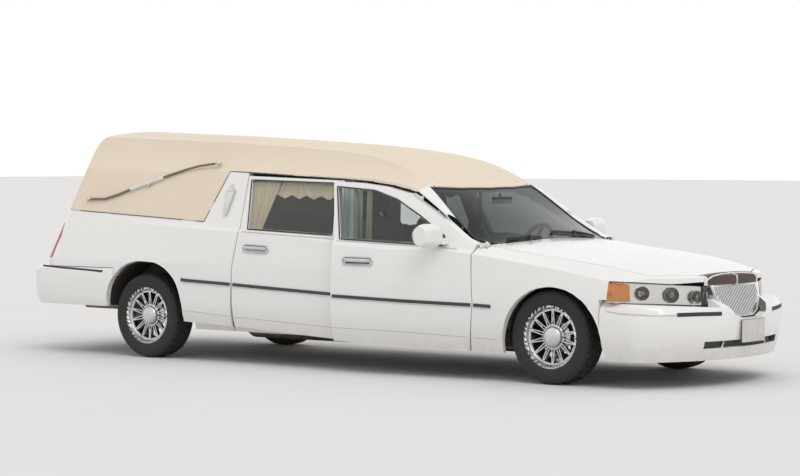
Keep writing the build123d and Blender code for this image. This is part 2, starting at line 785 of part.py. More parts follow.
# Fenders reach from the door to the lamps, outside the hood
FENDER_LINE = (
    (X_DOOR - 44, 180),
    (X_DOOR, 545),
    (X_DOOR - 32, 965),
    (X_DOOR + 20, 1100),
    (X_NOSE, 1100),
    (X_NOSE, 609),
    (X_FRONT + 440, 609),
    (X_FRONT + 440, 180),
)
with BuildPart() as fender_left:
    add(front_shell.part)
    add(side_prism(FENDER_LINE, 0, SIDE_REACH, grow=-PANEL_GAP / 2), mode=Mode.INTERSECT)
    add(block(X_DOOR - 100, X_NOSE, 0, 862, 0, 620), mode=Mode.SUBTRACT)
    add(block(X_DOOR - 100, X_DOOR + 46, 0, 862, 0, 2000), mode=Mode.SUBTRACT)
    add(front_arch(0, 925, grow=14), mode=Mode.SUBTRACT)
    add(block(X_DOOR - 100, X_DOOR + 20, 0, DOOR_INNER_Y, 0, 400), mode=Mode.SUBTRACT)
    add(hood_cut, mode=Mode.SUBTRACT)
    add(front_arch(0, SIDE_REACH), mode=Mode.SUBTRACT)
    add(lamp_cut.part, mode=Mode.SUBTRACT)
    add(header_cut, mode=Mode.SUBTRACT)
    add(grille_cut, mode=Mode.SUBTRACT)
    add(side_prism(PILLAR_LINE, 600, SIDE_REACH, grow=4), mode=Mode.SUBTRACT)
    add(block(X_DOOR - 100, X_DOOR + 160, 0, 803, 0, 2000), mode=Mode.SUBTRACT)
with BuildPart() as fenders:
    add(fender_left.part)
    add(mirrored(fender_left.part))
save(fenders.part, "fenders")

# Cowl and firewall between the engine bay and the cabin
COWL_Y = 789
with BuildPart() as hood_rest:
    add(lower_body(FENDER_WALL, HOOD_WALL + SEAT_GAP))
    add(
        block(X_DOOR + 20, X_DOOR + 180, 560, 640, 885, 1000)
        + block(X_DOOR + 20, X_DOOR + 180, -640, -560, 885, 1000),
        mode=Mode.INTERSECT,
    )
with BuildPart() as firewall:
    add(front_shell.part)
    add(block(X_DOOR + 6, X_DOOR + 160, -COWL_Y, COWL_Y, FLOOR_Z, 1100), mode=Mode.INTERSECT)
    add(hood_cut, mode=Mode.SUBTRACT)
    add(block(X_DOOR, X_DOOR + 200, -108, 108, 300, 470), mode=Mode.SUBTRACT)
    add(hood_rest.part)

# Door apertures: sill, hinge pillar, centre pillar and windshield pillar
SILL_IN = 792
SILL_OUT = DOOR_INNER_Y - PANEL_GAP
POST_DEPTH = ROOF_WALL + 6
POST_THICK = 45
POST_Y = 838
HINGE_LEAF = 17
post_layer_in = greenhouse(POST_DEPTH + POST_THICK)
POST_LINE = (
    (X_BPOST - 45, 930),
    (X_BPOST + 45, 930),
    (X_BPOST - 90, 1440),
    (X_BPOST - 165, 1440),
)
with BuildPart() as post_head:
    add(greenhouse(ROOF_WALL + SEAT_GAP))
    add(post_layer_in, mode=Mode.SUBTRACT)
    add(block(X_BPOST - 200, X_BPOST - 60, 0, SIDE_REACH, 1427, 1470), mode=Mode.INTERSECT)
with BuildPart() as post:
    add(greenhouse(POST_DEPTH))
    add(post_layer_in, mode=Mode.SUBTRACT)
    add(side_prism(POST_LINE, 0, SIDE_REACH), mode=Mode.INTERSECT)
with BuildPart() as pillar:
    add(shell.part)
    add(side_prism(PILLAR_LINE, 600, SIDE_REACH), mode=Mode.INTERSECT)
    add(glass_cut, mode=Mode.SUBTRACT)
with BuildPart() as side_frame_left:
    add(block(X_REAR + 500, X_DOOR + 8, SILL_IN, SILL_OUT, 245, 365))
    add(block(X_REAR + 500, X_CPOST - 60, SILL_IN, DOOR_INNER_Y - SEAT_GAP, 245, 365))
    for x in (X_DOOR - 62, X_BPOST - 22):
        add(block(x, x + HINGE_LEAF, SILL_IN, DOOR_INNER_Y - SEAT_GAP, 250, 390))
    add(block(X_DOOR + 8, X_DOOR + 46, SILL_IN, 856, 245, 900))
    add(block(X_DOOR - 30, X_DOOR + 46, SILL_IN, 826, 860, 925))
    add(block(X_DOOR - 30, X_DOOR + 18, SILL_IN, 830, 860, 974))
    add(block(X_BPOST - 45, X_BPOST + 45, SILL_IN, POST_Y, 365, 935))
    add(block(X_BPOST - 45, X_BPOST + 40, SILL_IN, 868, 900, 942))
    add(post.part)
    add(post_head.part)
    add(pillar.part)
with BuildPart() as side_frames:
    add(side_frame_left.part)
    add(mirrored(side_frame_left.part))

# Rear bumper: outlines at rising heights. Columns: z and inset.
REAR_BUMPER_ROWS = ((395, 40), (450, 12), (540, 0), (670, 0), (BUMPER_TOP, 22))
REAR_BUMPER_END = X_REAR - 300


def rear_bumper_solid(rows, wall):
    """Rear bumper volume, drawn in by a wall."""
    with BuildPart() as solid:
        for z, inset in rows:
            draw = inset + wall
            half = HALF_WIDTH - 12 - inset * 0.6 - wall
            radius = 250 - draw * 0.5
            x_corner = X_TAIL + 70 + draw
            with BuildSketch(Plane.XY.offset(z)):
                with BuildLine():
                    ThreePointArc(
                        (x_corner, radius - half), (X_TAIL + draw, 0), (x_corner, half - radius)
                    )
                    for side in (1, -1):
                        TangentArc(
                            (x_corner + radius, side * half),
                            (x_corner, side * (half - radius)),
                            tangent=(-1, 0),
                        )
                        Line((x_corner + radius, side * half), (REAR_BUMPER_END, side * (half + 8)))
                    Line((REAR_BUMPER_END, -half - 8), (REAR_BUMPER_END, half + 8))
                make_face()
        loft(ruled=True)
    return solid.part


with BuildPart() as bumper_rear:
    add(rear_bumper_solid(REAR_BUMPER_ROWS, 0))
    add(
        rear_bumper_solid(((300, 40), (450, 12), (540, 0), (652, 0), (BUMPER_TOP - 34, 22)), BUMPER_WALL),
        mode=Mode.SUBTRACT,
    )
    add(
        block(X_TAIL + 230, REAR_BUMPER_END + 50, -870, 870, 300, BUMPER_TOP + 20),
        mode=Mode.SUBTRACT,
    )
    add(rear_arch(-SIDE_REACH, SIDE_REACH), mode=Mode.SUBTRACT)
    for side in (1, -1):
        add(block(X_TAIL + 40, X_TAIL + 190 - SEAT_GAP, side * 430, side * 490, 430, 500))

# Plates, blank, on a bracket at the front and on the rear bumper
PLATE_W = 312
PLATE_H = 156
with BuildPart() as plates:
    add(block(X_NOSE - BUMPER_BACK + SEAT_GAP, X_NOSE, -PLATE_W / 2, PLATE_W / 2, 302, 302 + PLATE_H))

# Landau bars and lamp emblems on the vinyl and the pillar behind the doors
BAR_POINTS = (
    (X_REAR - 700, 1245),
    (X_REAR - 516, 1247),
    (X_REAR - 373, 1284),
    (X_REAR - 250, 1327),
    (X_REAR + 116, 1434),
    (X_REAR + 288, 1483),
    (X_REAR + 423, 1514),
    (X_REAR + 617, 1537),
)
BAR_R = 9
BAR_BALL_R = 20
BAR_STAND = 14


def vinyl_y(z):
    """Outer Y of the vinyl side at a height, beside the rear axle."""
    z_foot, in_foot, in_drip, z_drip = 950, 62, 230, 1470
    z_seam, in_seam = 1722, 390
    if z < z_drip:
        return HALF_WIDTH - in_foot - (z - z_foot) / (z_drip - z_foot) * (in_drip - in_foot)
    return HALF_WIDTH - in_drip - (z - z_drip) / (z_seam - z_drip) * (in_seam - in_drip)


with BuildPart() as landau_left:
    bar_path = [(x, vinyl_y(z) + BAR_STAND, z) for x, z in BAR_POINTS]
    with BuildLine() as bar_line:
        FilletPolyline(*bar_path, radius=60)
    with BuildSketch(Plane(origin=bar_line.line @ 0, z_dir=bar_line.line % 0)):
        Circle(BAR_R)
    sweep()
    for end in (bar_path[0], bar_path[-1]):
        with Locations(end):
            Sphere(BAR_BALL_R)
    add(greenhouse(-SEAT_GAP), mode=Mode.SUBTRACT)
EMBLEM_X = X_CPOST - 148
EMBLEM_Z = 1255
EMBLEM_THICK = 14
EMBLEM_LINE = (
    (EMBLEM_X - 12, EMBLEM_Z - 120),
    (EMBLEM_X + 12, EMBLEM_Z - 120),
    (EMBLEM_X + 24, EMBLEM_Z - 80),
    (EMBLEM_X + 44, EMBLEM_Z + 70),
    (EMBLEM_X + 16, EMBLEM_Z + 84),
    (EMBLEM_X + 10, EMBLEM_Z + 118),
    (EMBLEM_X - 10, EMBLEM_Z + 118),
    (EMBLEM_X - 16, EMBLEM_Z + 84),
    (EMBLEM_X - 44, EMBLEM_Z + 70),
    (EMBLEM_X - 24, EMBLEM_Z - 80),
)
with BuildPart() as emblem_left:
    add(greenhouse(-EMBLEM_THICK))
    add(greenhouse(-SEAT_GAP), mode=Mode.SUBTRACT)
    add(side_prism(EMBLEM_LINE, 600, SIDE_REACH), mode=Mode.INTERSECT)
with BuildPart() as landau_trim:
    add(landau_left.part)
    add(emblem_left.part)
    add(mirrored(landau_left.part))
    add(mirrored(emblem_left.part))

for piece, name in (
    (firewall.part, "firewall"),
    (side_frames.part, "side_frames"),
    (bumper_rear.part, "bumper_rear"),
    (plates.part, "plates"),
    (landau_trim.part, "landau_trim"),
):
    save(piece, name)

# Chassis: two rails that rise over the rear axle, and cross members
RAIL_Y = 460
RAIL_W = 70
RAIL_LINE = (
    (X_FRONT + 800, 330),
    (X_FRONT - 150, 330),
    (X_FRONT - 500, 215),
    (X_REAR + 700, 215),
    (X_REAR + 330, 450),
    (X_REAR - 420, 450),
    (X_REAR - 600, 410),
    (X_TAIL + 190, 410),
    (X_TAIL + 190, 510),
    (X_REAR - 600, 510),
    (X_REAR - 450, 560),
    (X_REAR + 360, 560),
    (X_REAR + 740, 318),
    (X_FRONT - 530, 318),
    (X_FRONT - 180, 430),
    (X_FRONT + 800, 430),
)
CROSS_MEMBERS = (
    # x, z of the underside, depth along X, height
    (X_FRONT + 630, 335, 100, 91.7),
    (X_DOOR - 300, 220, 90, 92),
    (X_BPOST + 40, 220, 90, 92),
    (X_REAR + 720, 220, 80, 92),
    (X_TAIL + 230, 415, 70, 90),
)
with BuildPart() as chassis_frame:
    for side in (1, -1):
        y = side * RAIL_Y
        add(side_prism(RAIL_LINE, y - RAIL_W / 2, y + RAIL_W / 2))
    for x, z, depth, height in CROSS_MEMBERS:
        add(block(x - depth / 2, x + depth / 2, -RAIL_Y, RAIL_Y, z, z + height))

# Floor pan over the rails, and the raised load deck with its rollers
PAN_Z = 320
TUNNEL_Y = 105
TUNNEL_TOP = 465
with BuildPart() as floor_pan:
    pan_y = SILL_IN - SEAT_GAP
    add(block(X_REAR + 765, X_DOOR + 6 - SEAT_GAP, -pan_y, pan_y, PAN_Z, FLOOR_Z))
    add(block(X_REAR + 765, X_DOOR + 6 - SEAT_GAP, -TUNNEL_Y, TUNNEL_Y, PAN_Z, TUNNEL_TOP))
    add(
        block(X_REAR + 760, X_DOOR + 20, 8 - TUNNEL_Y, TUNNEL_Y - 8, PAN_Z - 1, TUNNEL_TOP - 8),
        mode=Mode.SUBTRACT,
    )

DECK_Y = 654.7
DECK_T = 30
X_DECK = X_BPOST - 330
X_DECK_END = X_TAIL + 470
with BuildPart() as load_deck:
    add(block(X_DECK_END, X_DECK, -DECK_Y, DECK_Y, DECK_Z - DECK_T, DECK_Z))
    for side in (1, -1):
        y = side * (RAIL_Y - 10)
        add(block(X_DECK_END + 30, X_REAR - 620, y - 20, y + 20, 510 + SEAT_GAP, DECK_Z - DECK_T))
        add(block(X_REAR - 300, X_REAR + 300, y - 20, y + 20, 560 + SEAT_GAP, DECK_Z - DECK_T))
        add(block(X_REAR + 800, X_DECK - 60, y - 20, y + 20, FLOOR_Z, DECK_Z - DECK_T))
ROLLER_R = 16
ROLLER_COUNT = 6
ROLLER_PITCH = 380
with BuildPart() as deck_rollers:
    for number in range(ROLLER_COUNT):
        x = X_DECK_END + 150 + number * ROLLER_PITCH
        for y in (-330, 330):
            with Locations(Location((x, y, DECK_Z + ROLLER_R + 4), (90, 0, 0))):
                Cylinder(ROLLER_R, 220)
            for edge in (-112, 112):
                add(block(x - 14, x + 14, y + edge - 3, y + edge + 3, DECK_Z, DECK_Z + ROLLER_R + 14))
with BuildPart() as partition:
    add(block(X_DECK + 4, X_DECK + 34, -SILL_IN + 2, SILL_IN - 2, FLOOR_Z, 900))
    add(
        block(X_DECK, X_DECK + 40, -TUNNEL_Y - 3, TUNNEL_Y + 3, FLOOR_Z - 5, TUNNEL_TOP + 3),
        mode=Mode.SUBTRACT,
    )

# Wheel housings: arched liners with an inner wall, open to the outside
LINER = 6
TYRE_ROOM = 18
RAIL_FACE = RAIL_Y + RAIL_W / 2 + SEAT_GAP
with BuildPart() as front_liner:
    add(front_arch(RAIL_FACE, 862 - SEAT_GAP, grow=TYRE_ROOM))
    add(front_arch(RAIL_FACE + LINER, 863, grow=TYRE_ROOM - LINER), mode=Mode.SUBTRACT)
    add(block(X_DOOR, X_NOSE, 0, SIDE_REACH, 0, 262), mode=Mode.SUBTRACT)
    add(block(X_FRONT - 130, X_FRONT + 130, 400, 540, 0, 520), mode=Mode.SUBTRACT)
with BuildPart() as rear_liner:
    add(rear_arch(655, 905, grow=-SEAT_GAP))
    add(rear_arch(655 + LINER, 906, grow=-SEAT_GAP - LINER), mode=Mode.SUBTRACT)
    add(block(X_TAIL, X_DOOR, 0, SIDE_REACH, 0, 400), mode=Mode.SUBTRACT)
with BuildPart() as housing_left:
    add(front_liner.part)
    add(rear_liner.part)
with BuildPart() as wheel_housings:
    add(housing_left.part)
    add(mirrored(housing_left.part))

# Cabin: dashboard, seats and steering wheel
DASH_LINE = (
    (X_DOOR + 6 - SEAT_GAP, 560),
    (X_DOOR + 6 - SEAT_GAP, 915),
    (X_DOOR - 40, 935),
    (X_DOOR - 120, 945),
    (X_DOOR - 300, 930),
    (X_DOOR - 380, 850),
    (X_DOOR - 330, 700),
    (X_DOOR - 200, 560),
)
with BuildPart() as dashboard:
    add(side_prism(DASH_LINE, -SILL_IN + 5, SILL_IN - 5))

SEAT_Y = 375
SEAT_W = 520
SEAT_X = X_DOOR - 700
with BuildPart() as seat:
    with Locations((SEAT_X - 245, SEAT_Y, 520)):
        Box(520, SEAT_W, 170)
    with BuildSketch(Plane.XZ.offset(-(SEAT_Y + SEAT_W / 2))):
        with BuildLine():
            Polyline(
                (SEAT_X - 440, 500),
                (SEAT_X - 560, 500),
                (SEAT_X - 690, 1150),
                (SEAT_X - 580, 1165),
                (SEAT_X - 440, 605),
                close=True,
            )
        make_face()
    extrude(amount=SEAT_W)
    with Locations((SEAT_X - 655, SEAT_Y, 1235)):
        Box(90, 250, 150)
    add(block(SEAT_X - 480, SEAT_X - 60, SEAT_Y - 200, SEAT_Y + 200, FLOOR_Z + SEAT_GAP, 436))
with BuildPart() as front_seats:
    add(seat.part)
    add(mirrored(seat.part))

WHEEL_RIM_R = 190
WHEEL_GRIP_R = 15
STEER_X = X_DOOR - 420
STEER_Z = 905
STEER_TILT = 28
steer_axis = (-math.cos(math.radians(STEER_TILT)), 0, math.sin(math.radians(STEER_TILT)))
steer_plane = Plane(origin=(STEER_X, SEAT_Y, STEER_Z), x_dir=(0, 1, 0), z_dir=steer_axis)
with BuildPart(steer_plane) as steering_wheel:
    Torus(WHEEL_RIM_R, WHEEL_GRIP_R)
    Cylinder(62, 50)
    with PolarLocations(0, 4):
        with Locations((WHEEL_RIM_R / 2, 0, 0)):
            Box(WHEEL_RIM_R, 32, 14)
    Cylinder(12 + RUNNING_FIT, 60, mode=Mode.SUBTRACT)
COLUMN_START = 30
with BuildPart(steer_plane) as steering_column:
    with Locations((0, 0, -COLUMN_START - 60)):
        Cylinder(38, 120)
    with Locations((0, 0, -COLUMN_START)):
        Cylinder(12, 2 * COLUMN_START)
with BuildPart() as dashboard_whole:
    add(dashboard.part)
    add(steering_column.part)

# Engine block, radiator, exhaust, tank
with BuildPart() as engine_block:
    add(block(X_FRONT - 500, X_FRONT + 250, -320, 320, 440, 850))
    add(block(X_FRONT - 480, X_FRONT - 120, -180, 180, 300, 440))
    add(block(X_FRONT - 1150, X_FRONT - 500, -95, 95, 345, 450))
    add(block(X_FRONT - 560, X_FRONT - 500, -150, 150, 345, 640))
    for side in (1, -1):
        y_rail = RAIL_Y - RAIL_W / 2 - SEAT_GAP
        add(block(X_FRONT - 150, X_FRONT - 50, side * 300, side * y_rail, 350, 445))
with BuildPart() as radiator:
    add(block(X_FRONT + 600, X_FRONT + 655, -370, 370, 427, 700))
EXHAUST_Y = -300
PIPE_R = 30
PIPE_LOW = 185
with BuildPart() as exhaust:
    with BuildLine() as pipe_line:
        FilletPolyline(
            (X_FRONT - 280, -240, 440 - PIPE_R - SEAT_GAP),
            (X_FRONT - 400, -240, 440 - PIPE_R - SEAT_GAP),
            (X_FRONT - 600, -240, PIPE_LOW),
            (X_REAR + 600, EXHAUST_Y, PIPE_LOW),
            (X_REAR + 250, EXHAUST_Y, 480),
            (X_REAR - 250, EXHAUST_Y, 480),
            (X_REAR - 520, EXHAUST_Y, 350),
            (X_TAIL + 130, EXHAUST_Y, 350),
            radius=90,
        )
    with BuildSketch(Plane(origin=pipe_line.line @ 0, z_dir=pipe_line.line % 0)):
        Circle(PIPE_R)
    sweep()
    with Locations(Location((X_CPOST + 200, EXHAUST_Y + 10, 235), (0, 90, 0))):
        Cylinder(62, 500)
with BuildPart() as fuel_tank:
    add(block(X_REAR - 1060, X_REAR - 620, -230, RAIL_Y - RAIL_W / 2 - SEAT_GAP, 330, 505))

# Rear axle with its springs and the drive shaft
AXLE_R = 42
SHAFT_R = 38
SHAFT_Z = 385
X_SHAFT_END = X_FRONT - 1150 - SEAT_GAP
SPINDLE_R = BORE_R - RUNNING_FIT
SPINDLE_END = WHEEL_Y + 62
with BuildPart() as rear_axle:
    with Locations(Location((X_REAR, 0, TYRE_R), (90, 0, 0))):
        Cylinder(AXLE_R, 2 * (WHEEL_Y - 115))
        Cylinder(SPINDLE_R, 2 * SPINDLE_END)
    with Locations((X_REAR, 0, TYRE_R)):
        Sphere(135)
    add(block(X_REAR + 100, X_REAR + 260, -55, 55, TYRE_R - 40, SHAFT_Z + 45))
    with Locations(Location(((X_REAR + X_SHAFT_END) / 2 + 120, 0, SHAFT_Z), (0, 90, 0))):
        Cylinder(SHAFT_R, X_SHAFT_END - X_REAR - 240)
    for side in (1, -1):
        with Locations((X_REAR - 60, side * 560, 430)):
            Cylinder(55, 130)
        add(block(X_REAR - 30, X_REAR + 620, side * 585 - 20, side * 585 + 20, 300, 345))
        add(block(X_REAR + 560, X_REAR + 620, side * 495.3, side * 590, 290, 345))
        add(block(X_REAR - 120, X_REAR, side * 495, side * 615, 340, 372))
        add(block(X_REAR - 120, X_REAR, side * 495, side * 615, 490, 500))

# Front suspension arms, and the knuckles that steer on them
KNUCKLE_Z_LOW = TYRE_R - 125
KNUCKLE_Z_HIGH = TYRE_R + 125
ARM_GAP = 4
ARM_ROOT_Y = 480
with BuildPart() as front_suspension:
    add(block(X_FRONT - 110, X_FRONT + 110, -525, 525, 250, 330))
    for side in (1, -1):
        add(block(X_FRONT - 60, X_FRONT + 60, side * 497, side * 525, 329, KNUCKLE_Z_HIGH + 24))
        add(block(X_FRONT - 100, X_FRONT + 100, side * 430, side * 500, KNUCKLE_Z_LOW - 30, 251))
        for z_low, root, neck, tip in (
            (KNUCKLE_Z_LOW - ARM_GAP - 26, 120, 40, 28),
            (KNUCKLE_Z_HIGH + ARM_GAP, 60, 36, 24),
        ):
            add(
                plan_prism(
                    (
                        (X_FRONT - root, side * ARM_ROOT_Y),
                        (X_FRONT + root, side * ARM_ROOT_Y),
                        (X_FRONT + neck, side * 640),
                        (X_FRONT + tip, side * (KINGPIN_Y + 17)),
                        (X_FRONT - tip, side * (KINGPIN_Y + 17)),
                        (X_FRONT - neck, side * 640),
                    ),
                    z_low,
                    z_low + (26 if z_low < TYRE_R else 20),
                )
            )
        for z_low, z_high in (
            (KNUCKLE_Z_LOW - ARM_GAP - 1, KNUCKLE_Z_LOW + 30),
            (KNUCKLE_Z_HIGH - 30, KNUCKLE_Z_HIGH + ARM_GAP + 1),
        ):
            with Locations((X_FRONT, side * KINGPIN_Y, (z_low + z_high) / 2)):
                Cylinder(12, z_high - z_low)


def knuckle(side):
    """Upright with its spindle, bored for the two ball studs."""
    y = side * KINGPIN_Y
    with BuildPart() as upright:
        with Locations((X_FRONT, y - side * 6, TYRE_R)):
            Box(70, 42, KNUCKLE_Z_HIGH - KNUCKLE_Z_LOW)
        for z_low, z_high in (
            (KNUCKLE_Z_LOW - 1, KNUCKLE_Z_LOW + 31),
            (KNUCKLE_Z_HIGH - 31, KNUCKLE_Z_HIGH + 1),
        ):
            with Locations((X_FRONT, y, (z_low + z_high) / 2)):
                Cylinder(12 + RUNNING_FIT, z_high - z_low, mode=Mode.SUBTRACT)
        with Locations(Location((X_FRONT, side * (KINGPIN_Y + SPINDLE_END) / 2, TYRE_R), (90, 0, 0))):
            Cylinder(SPINDLE_R, SPINDLE_END - KINGPIN_Y)
    return upright.part


# Wheels: a tyre and a spoked rim at each corner
RIM_FACE_Y = 55
RIM_FACE_T = 26
DISC_R = 120
DISC_FACE = 22
DISC_T = 9
RIM_WALL = 9
HUB_R = 78
HOLE_IN = 88
HOLE_OUT = 186


def tyre(x, side):
    """Tyre with rounded shoulders and a hollow that the rim fills."""
    half = TYRE_W / 2
    with BuildPart() as ring:
        with BuildSketch(Plane.XY):
            with BuildLine():
                Polyline(
                    (RIM_R - 14, -RIM_W / 2 + 10),
                    (RIM_R - 14, RIM_W / 2 - 10),
                    (RIM_R + 8, RIM_W / 2 - 2),
                    (RIM_R + 45, half),
                    (TYRE_R - 45, half - 2),
                )
                ThreePointArc(
                    (TYRE_R - 45, half - 2), (TYRE_R - 14, half - 12), (TYRE_R - 3, half - 34)
                )
                ThreePointArc((TYRE_R - 3, half - 34), (TYRE_R, 0), (TYRE_R - 3, 34 - half))
                ThreePointArc(
                    (TYRE_R - 3, 34 - half), (TYRE_R - 14, 12 - half), (TYRE_R - 45, 2 - half)
                )
                Polyline(
                    (TYRE_R - 45, 2 - half),
                    (RIM_R + 45, -half),
                    (RIM_R + 8, 2 - RIM_W / 2),
                    (RIM_R - 14, 10 - RIM_W / 2),
                )
            make_face()
        revolve(axis=Axis.Y)
    return ring.part.moved(Location((x, side * WHEEL_Y, TYRE_R)))


def rim(x, side):
    """Rim with a spoked face, a bored hub and the brake disc behind it."""
    face = RIM_FACE_Y
    barrel = RIM_R - 14 - SEAT_GAP
    angle_out = math.pi / SPOKES * 0.78
    angle_in = math.pi / SPOKES * 0.3
    with BuildPart() as disc:
        with BuildSketch(Plane.XY):
            with BuildLine():
                Polyline(
                    (BORE_R, DISC_FACE - DISC_T),
                    (DISC_R, DISC_FACE - DISC_T),
                    (DISC_R, DISC_FACE),
                    (HUB_R, DISC_FACE),
                    (HUB_R, face - RIM_FACE_T),
                    (RIM_R - 40, face - RIM_FACE_T),
                    (barrel - RIM_WALL, face - RIM_FACE_T - 12),
                    (barrel - RIM_WALL, -RIM_W / 2 - 2),
                    (RIM_R, -RIM_W / 2 - 2),
                    (RIM_R, 4 - RIM_W / 2),
                    (barrel, 9.7 - RIM_W / 2),
                    (barrel, RIM_W / 2 - 9.7),
                    (RIM_R, RIM_W / 2 - 4),
                    (RIM_R, RIM_W / 2 + 2),
                    (RIM_R - 14, RIM_W / 2 + 5),
                    (RIM_R - 30, face + 8),
                    (HUB_R, face),
                    (HUB_R - 20, face + 16),
                    (BORE_R, face + 18),
                    close=True,
                )
            make_face()
        revolve(axis=Axis.Y)
        with BuildSketch(Plane.XZ.offset(-(face + 20))):
            with PolarLocations(0, SPOKES):
                Polygon(
                    (HOLE_OUT * math.cos(angle_out), HOLE_OUT * math.sin(angle_out)),
                    (HOLE_IN * math.cos(angle_in), HOLE_IN * math.sin(angle_in)),
                    (HOLE_IN * math.cos(angle_in), -HOLE_IN * math.sin(angle_in)),
                    (HOLE_OUT * math.cos(angle_out), -HOLE_OUT * math.sin(angle_out)),
                    align=None,
                )
        extrude(amount=RIM_FACE_Y + 20 - DISC_FACE - 1, mode=Mode.SUBTRACT)
    turned = disc.part if side > 0 else disc.part.mirror(Plane.XZ)
    return turned.moved(Location((x, side * WHEEL_Y, TYRE_R)))


for piece, name in (
    (chassis_frame.part, "chassis_frame"),
    (floor_pan.part, "floor_pan"),
    (load_deck.part, "load_deck"),
    (deck_rollers.part, "deck_rollers"),
    (partition.part, "partition"),
    (wheel_housings.part, "wheel_housings"),
    (dashboard_whole.part, "dashboard"),
    (front_seats.part, "front_seats"),
    (steering_wheel.part, "steering_wheel"),
    (engine_block.part, "engine_block"),
    (radiator.part, "radiator"),
    (exhaust.part, "exhaust"),
    (fuel_tank.part, "fuel_tank"),
    (rear_axle.part, "rear_axle"),
    (front_suspension.part, "front_suspension"),
):
    save(piece, name)

for side, hand in ((1, "left"), (-1, "right")):
    save(knuckle(side), f"knuckle_{hand}")
    for x, end in ((X_FRONT, "front"), (X_REAR, "rear")):
        save(tyre(x, side), f"tyre_{end}_{hand}")
        save(rim(x, side), f"rim_{end}_{hand}")
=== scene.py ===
"""Looks for the hearse: materials and the pieces too fine for the solids.

Everything is in metres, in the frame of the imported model: +X forward, +Y left,
+Z up, the ground at Z 0. Pieces of a side are made on the left and mirrored.
"""

import json
import math

import bpy
from mathutils import Matrix, Vector
from mathutils.bvhtree import BVHTree


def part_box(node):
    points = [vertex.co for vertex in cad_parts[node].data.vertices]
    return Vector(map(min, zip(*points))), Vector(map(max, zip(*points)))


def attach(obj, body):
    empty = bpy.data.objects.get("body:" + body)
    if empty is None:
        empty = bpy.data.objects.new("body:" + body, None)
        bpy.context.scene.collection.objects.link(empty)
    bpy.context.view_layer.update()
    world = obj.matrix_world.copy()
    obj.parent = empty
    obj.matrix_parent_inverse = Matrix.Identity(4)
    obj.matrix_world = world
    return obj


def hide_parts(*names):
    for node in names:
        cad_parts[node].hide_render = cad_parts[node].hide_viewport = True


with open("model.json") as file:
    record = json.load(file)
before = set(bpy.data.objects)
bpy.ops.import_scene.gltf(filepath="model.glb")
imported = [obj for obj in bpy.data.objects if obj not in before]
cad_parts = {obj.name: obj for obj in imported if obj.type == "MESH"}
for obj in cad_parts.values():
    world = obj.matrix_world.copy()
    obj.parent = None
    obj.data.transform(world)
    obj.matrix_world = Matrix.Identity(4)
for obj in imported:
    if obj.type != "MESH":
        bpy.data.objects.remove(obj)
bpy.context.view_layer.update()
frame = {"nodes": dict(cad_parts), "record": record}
nodes = frame["nodes"]

# Places taken from the solids
X_FRONT = 2.075
X_REAR = -1.785
X_DOOR = 1.464
X_BPOST = 0.244
X_CPOST = -0.821
HUB_Z = 0.333
WHEEL_Y = 0.807
SIDES = (("left", 1), ("right", -1))
WHEELS = [
    (end, hand, side, (x, side * WHEEL_Y, HUB_Z))
    for hand, side in SIDES
    for end, x in (("front", X_FRONT), ("rear", X_REAR))
]

# Where the lines of sight start that find the body's surface
SIDE_START = 2.0
TOP_START = 4.0
FRONT_START = 4.5
BACK_START = -5.0
LAY_START = 0.6  # outwards from the rough point

PIECE_WELD = 0.00002
CAD_WELD = 0.00005


# Making pieces


def deselect():
    bpy.ops.object.select_all(action="DESELECT")


def pick(obj):
    deselect()
    obj.select_set(True)
    bpy.context.view_layer.objects.active = obj


def added(operator, **settings):
    """The object that an operator adds."""
    deselect()
    operator(**settings)
    return bpy.context.object


def edit(obj, action="SELECT"):
    """Open the mesh for editing, with all or none of it selected."""
    pick(obj)
    bpy.ops.object.mode_set(mode="EDIT")
    bpy.ops.mesh.select_all(action=action)


def leave():
    bpy.ops.object.mode_set(mode="OBJECT")


def settle(obj):
    """Put the object at the origin with its place in its mesh."""
    pick(obj)
    bpy.ops.object.transform_apply(location=True, rotation=True, scale=True)


def apply_modifiers(obj):
    pick(obj)
    for modifier in list(obj.modifiers):
        bpy.ops.object.modifier_apply(modifier=modifier.name)


def bevel_edges(obj, width, segments):
    edge = obj.modifiers.new("edge", "BEVEL")
    edge.width = width
    edge.segments = segments
    apply_modifiers(obj)


def finish_piece(obj, name, body, slot, material, angle=40):
    """Name, smooth and paint a piece, and fix it to its body."""
    settle(obj)
    obj.name = name
    obj.data.name = name
    obj.data.materials.clear()
    obj.data.materials.append(material)
    bpy.ops.object.shade_smooth_by_angle(angle=math.radians(angle))
    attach(obj, body)
    return obj


def turn_outward(obj):
    edit(obj)
    bpy.ops.mesh.remove_doubles(threshold=PIECE_WELD)
    bpy.ops.mesh.normals_make_consistent(inside=False)
    leave()


def join(pieces):
    deselect()
    for piece in pieces:
        piece.select_set(True)
    bpy.context.view_layer.objects.active = pieces[0]
    bpy.ops.object.join()
    return pieces[0]


def copy_piece(obj):
    deselect()
    twin = obj.copy()
    twin.data = obj.data.copy()
    bpy.context.collection.objects.link(twin)
    return twin


def copy_node(name):
    """Loose copy of a CAD node, merged into one surface."""
    obj = copy_piece(nodes[name])
    place = nodes[name].matrix_world.copy()
    obj.parent = None
    obj.matrix_world = place
    settle(obj)
    edit(obj)
    bpy.ops.mesh.remove_doubles(threshold=CAD_WELD)
    leave()
    return obj


def new_curve(kind, points):
    curve = added(bpy.ops.curve.primitive_nurbs_path_add, location=(0, 0, 0)).data
    curve.splines.clear()
    spline = curve.splines.new(kind)
    spline.points.add(len(points) - 1)
    for place, point in zip(spline.points, points):
        place.co = (*point, 1)
    return curve, spline


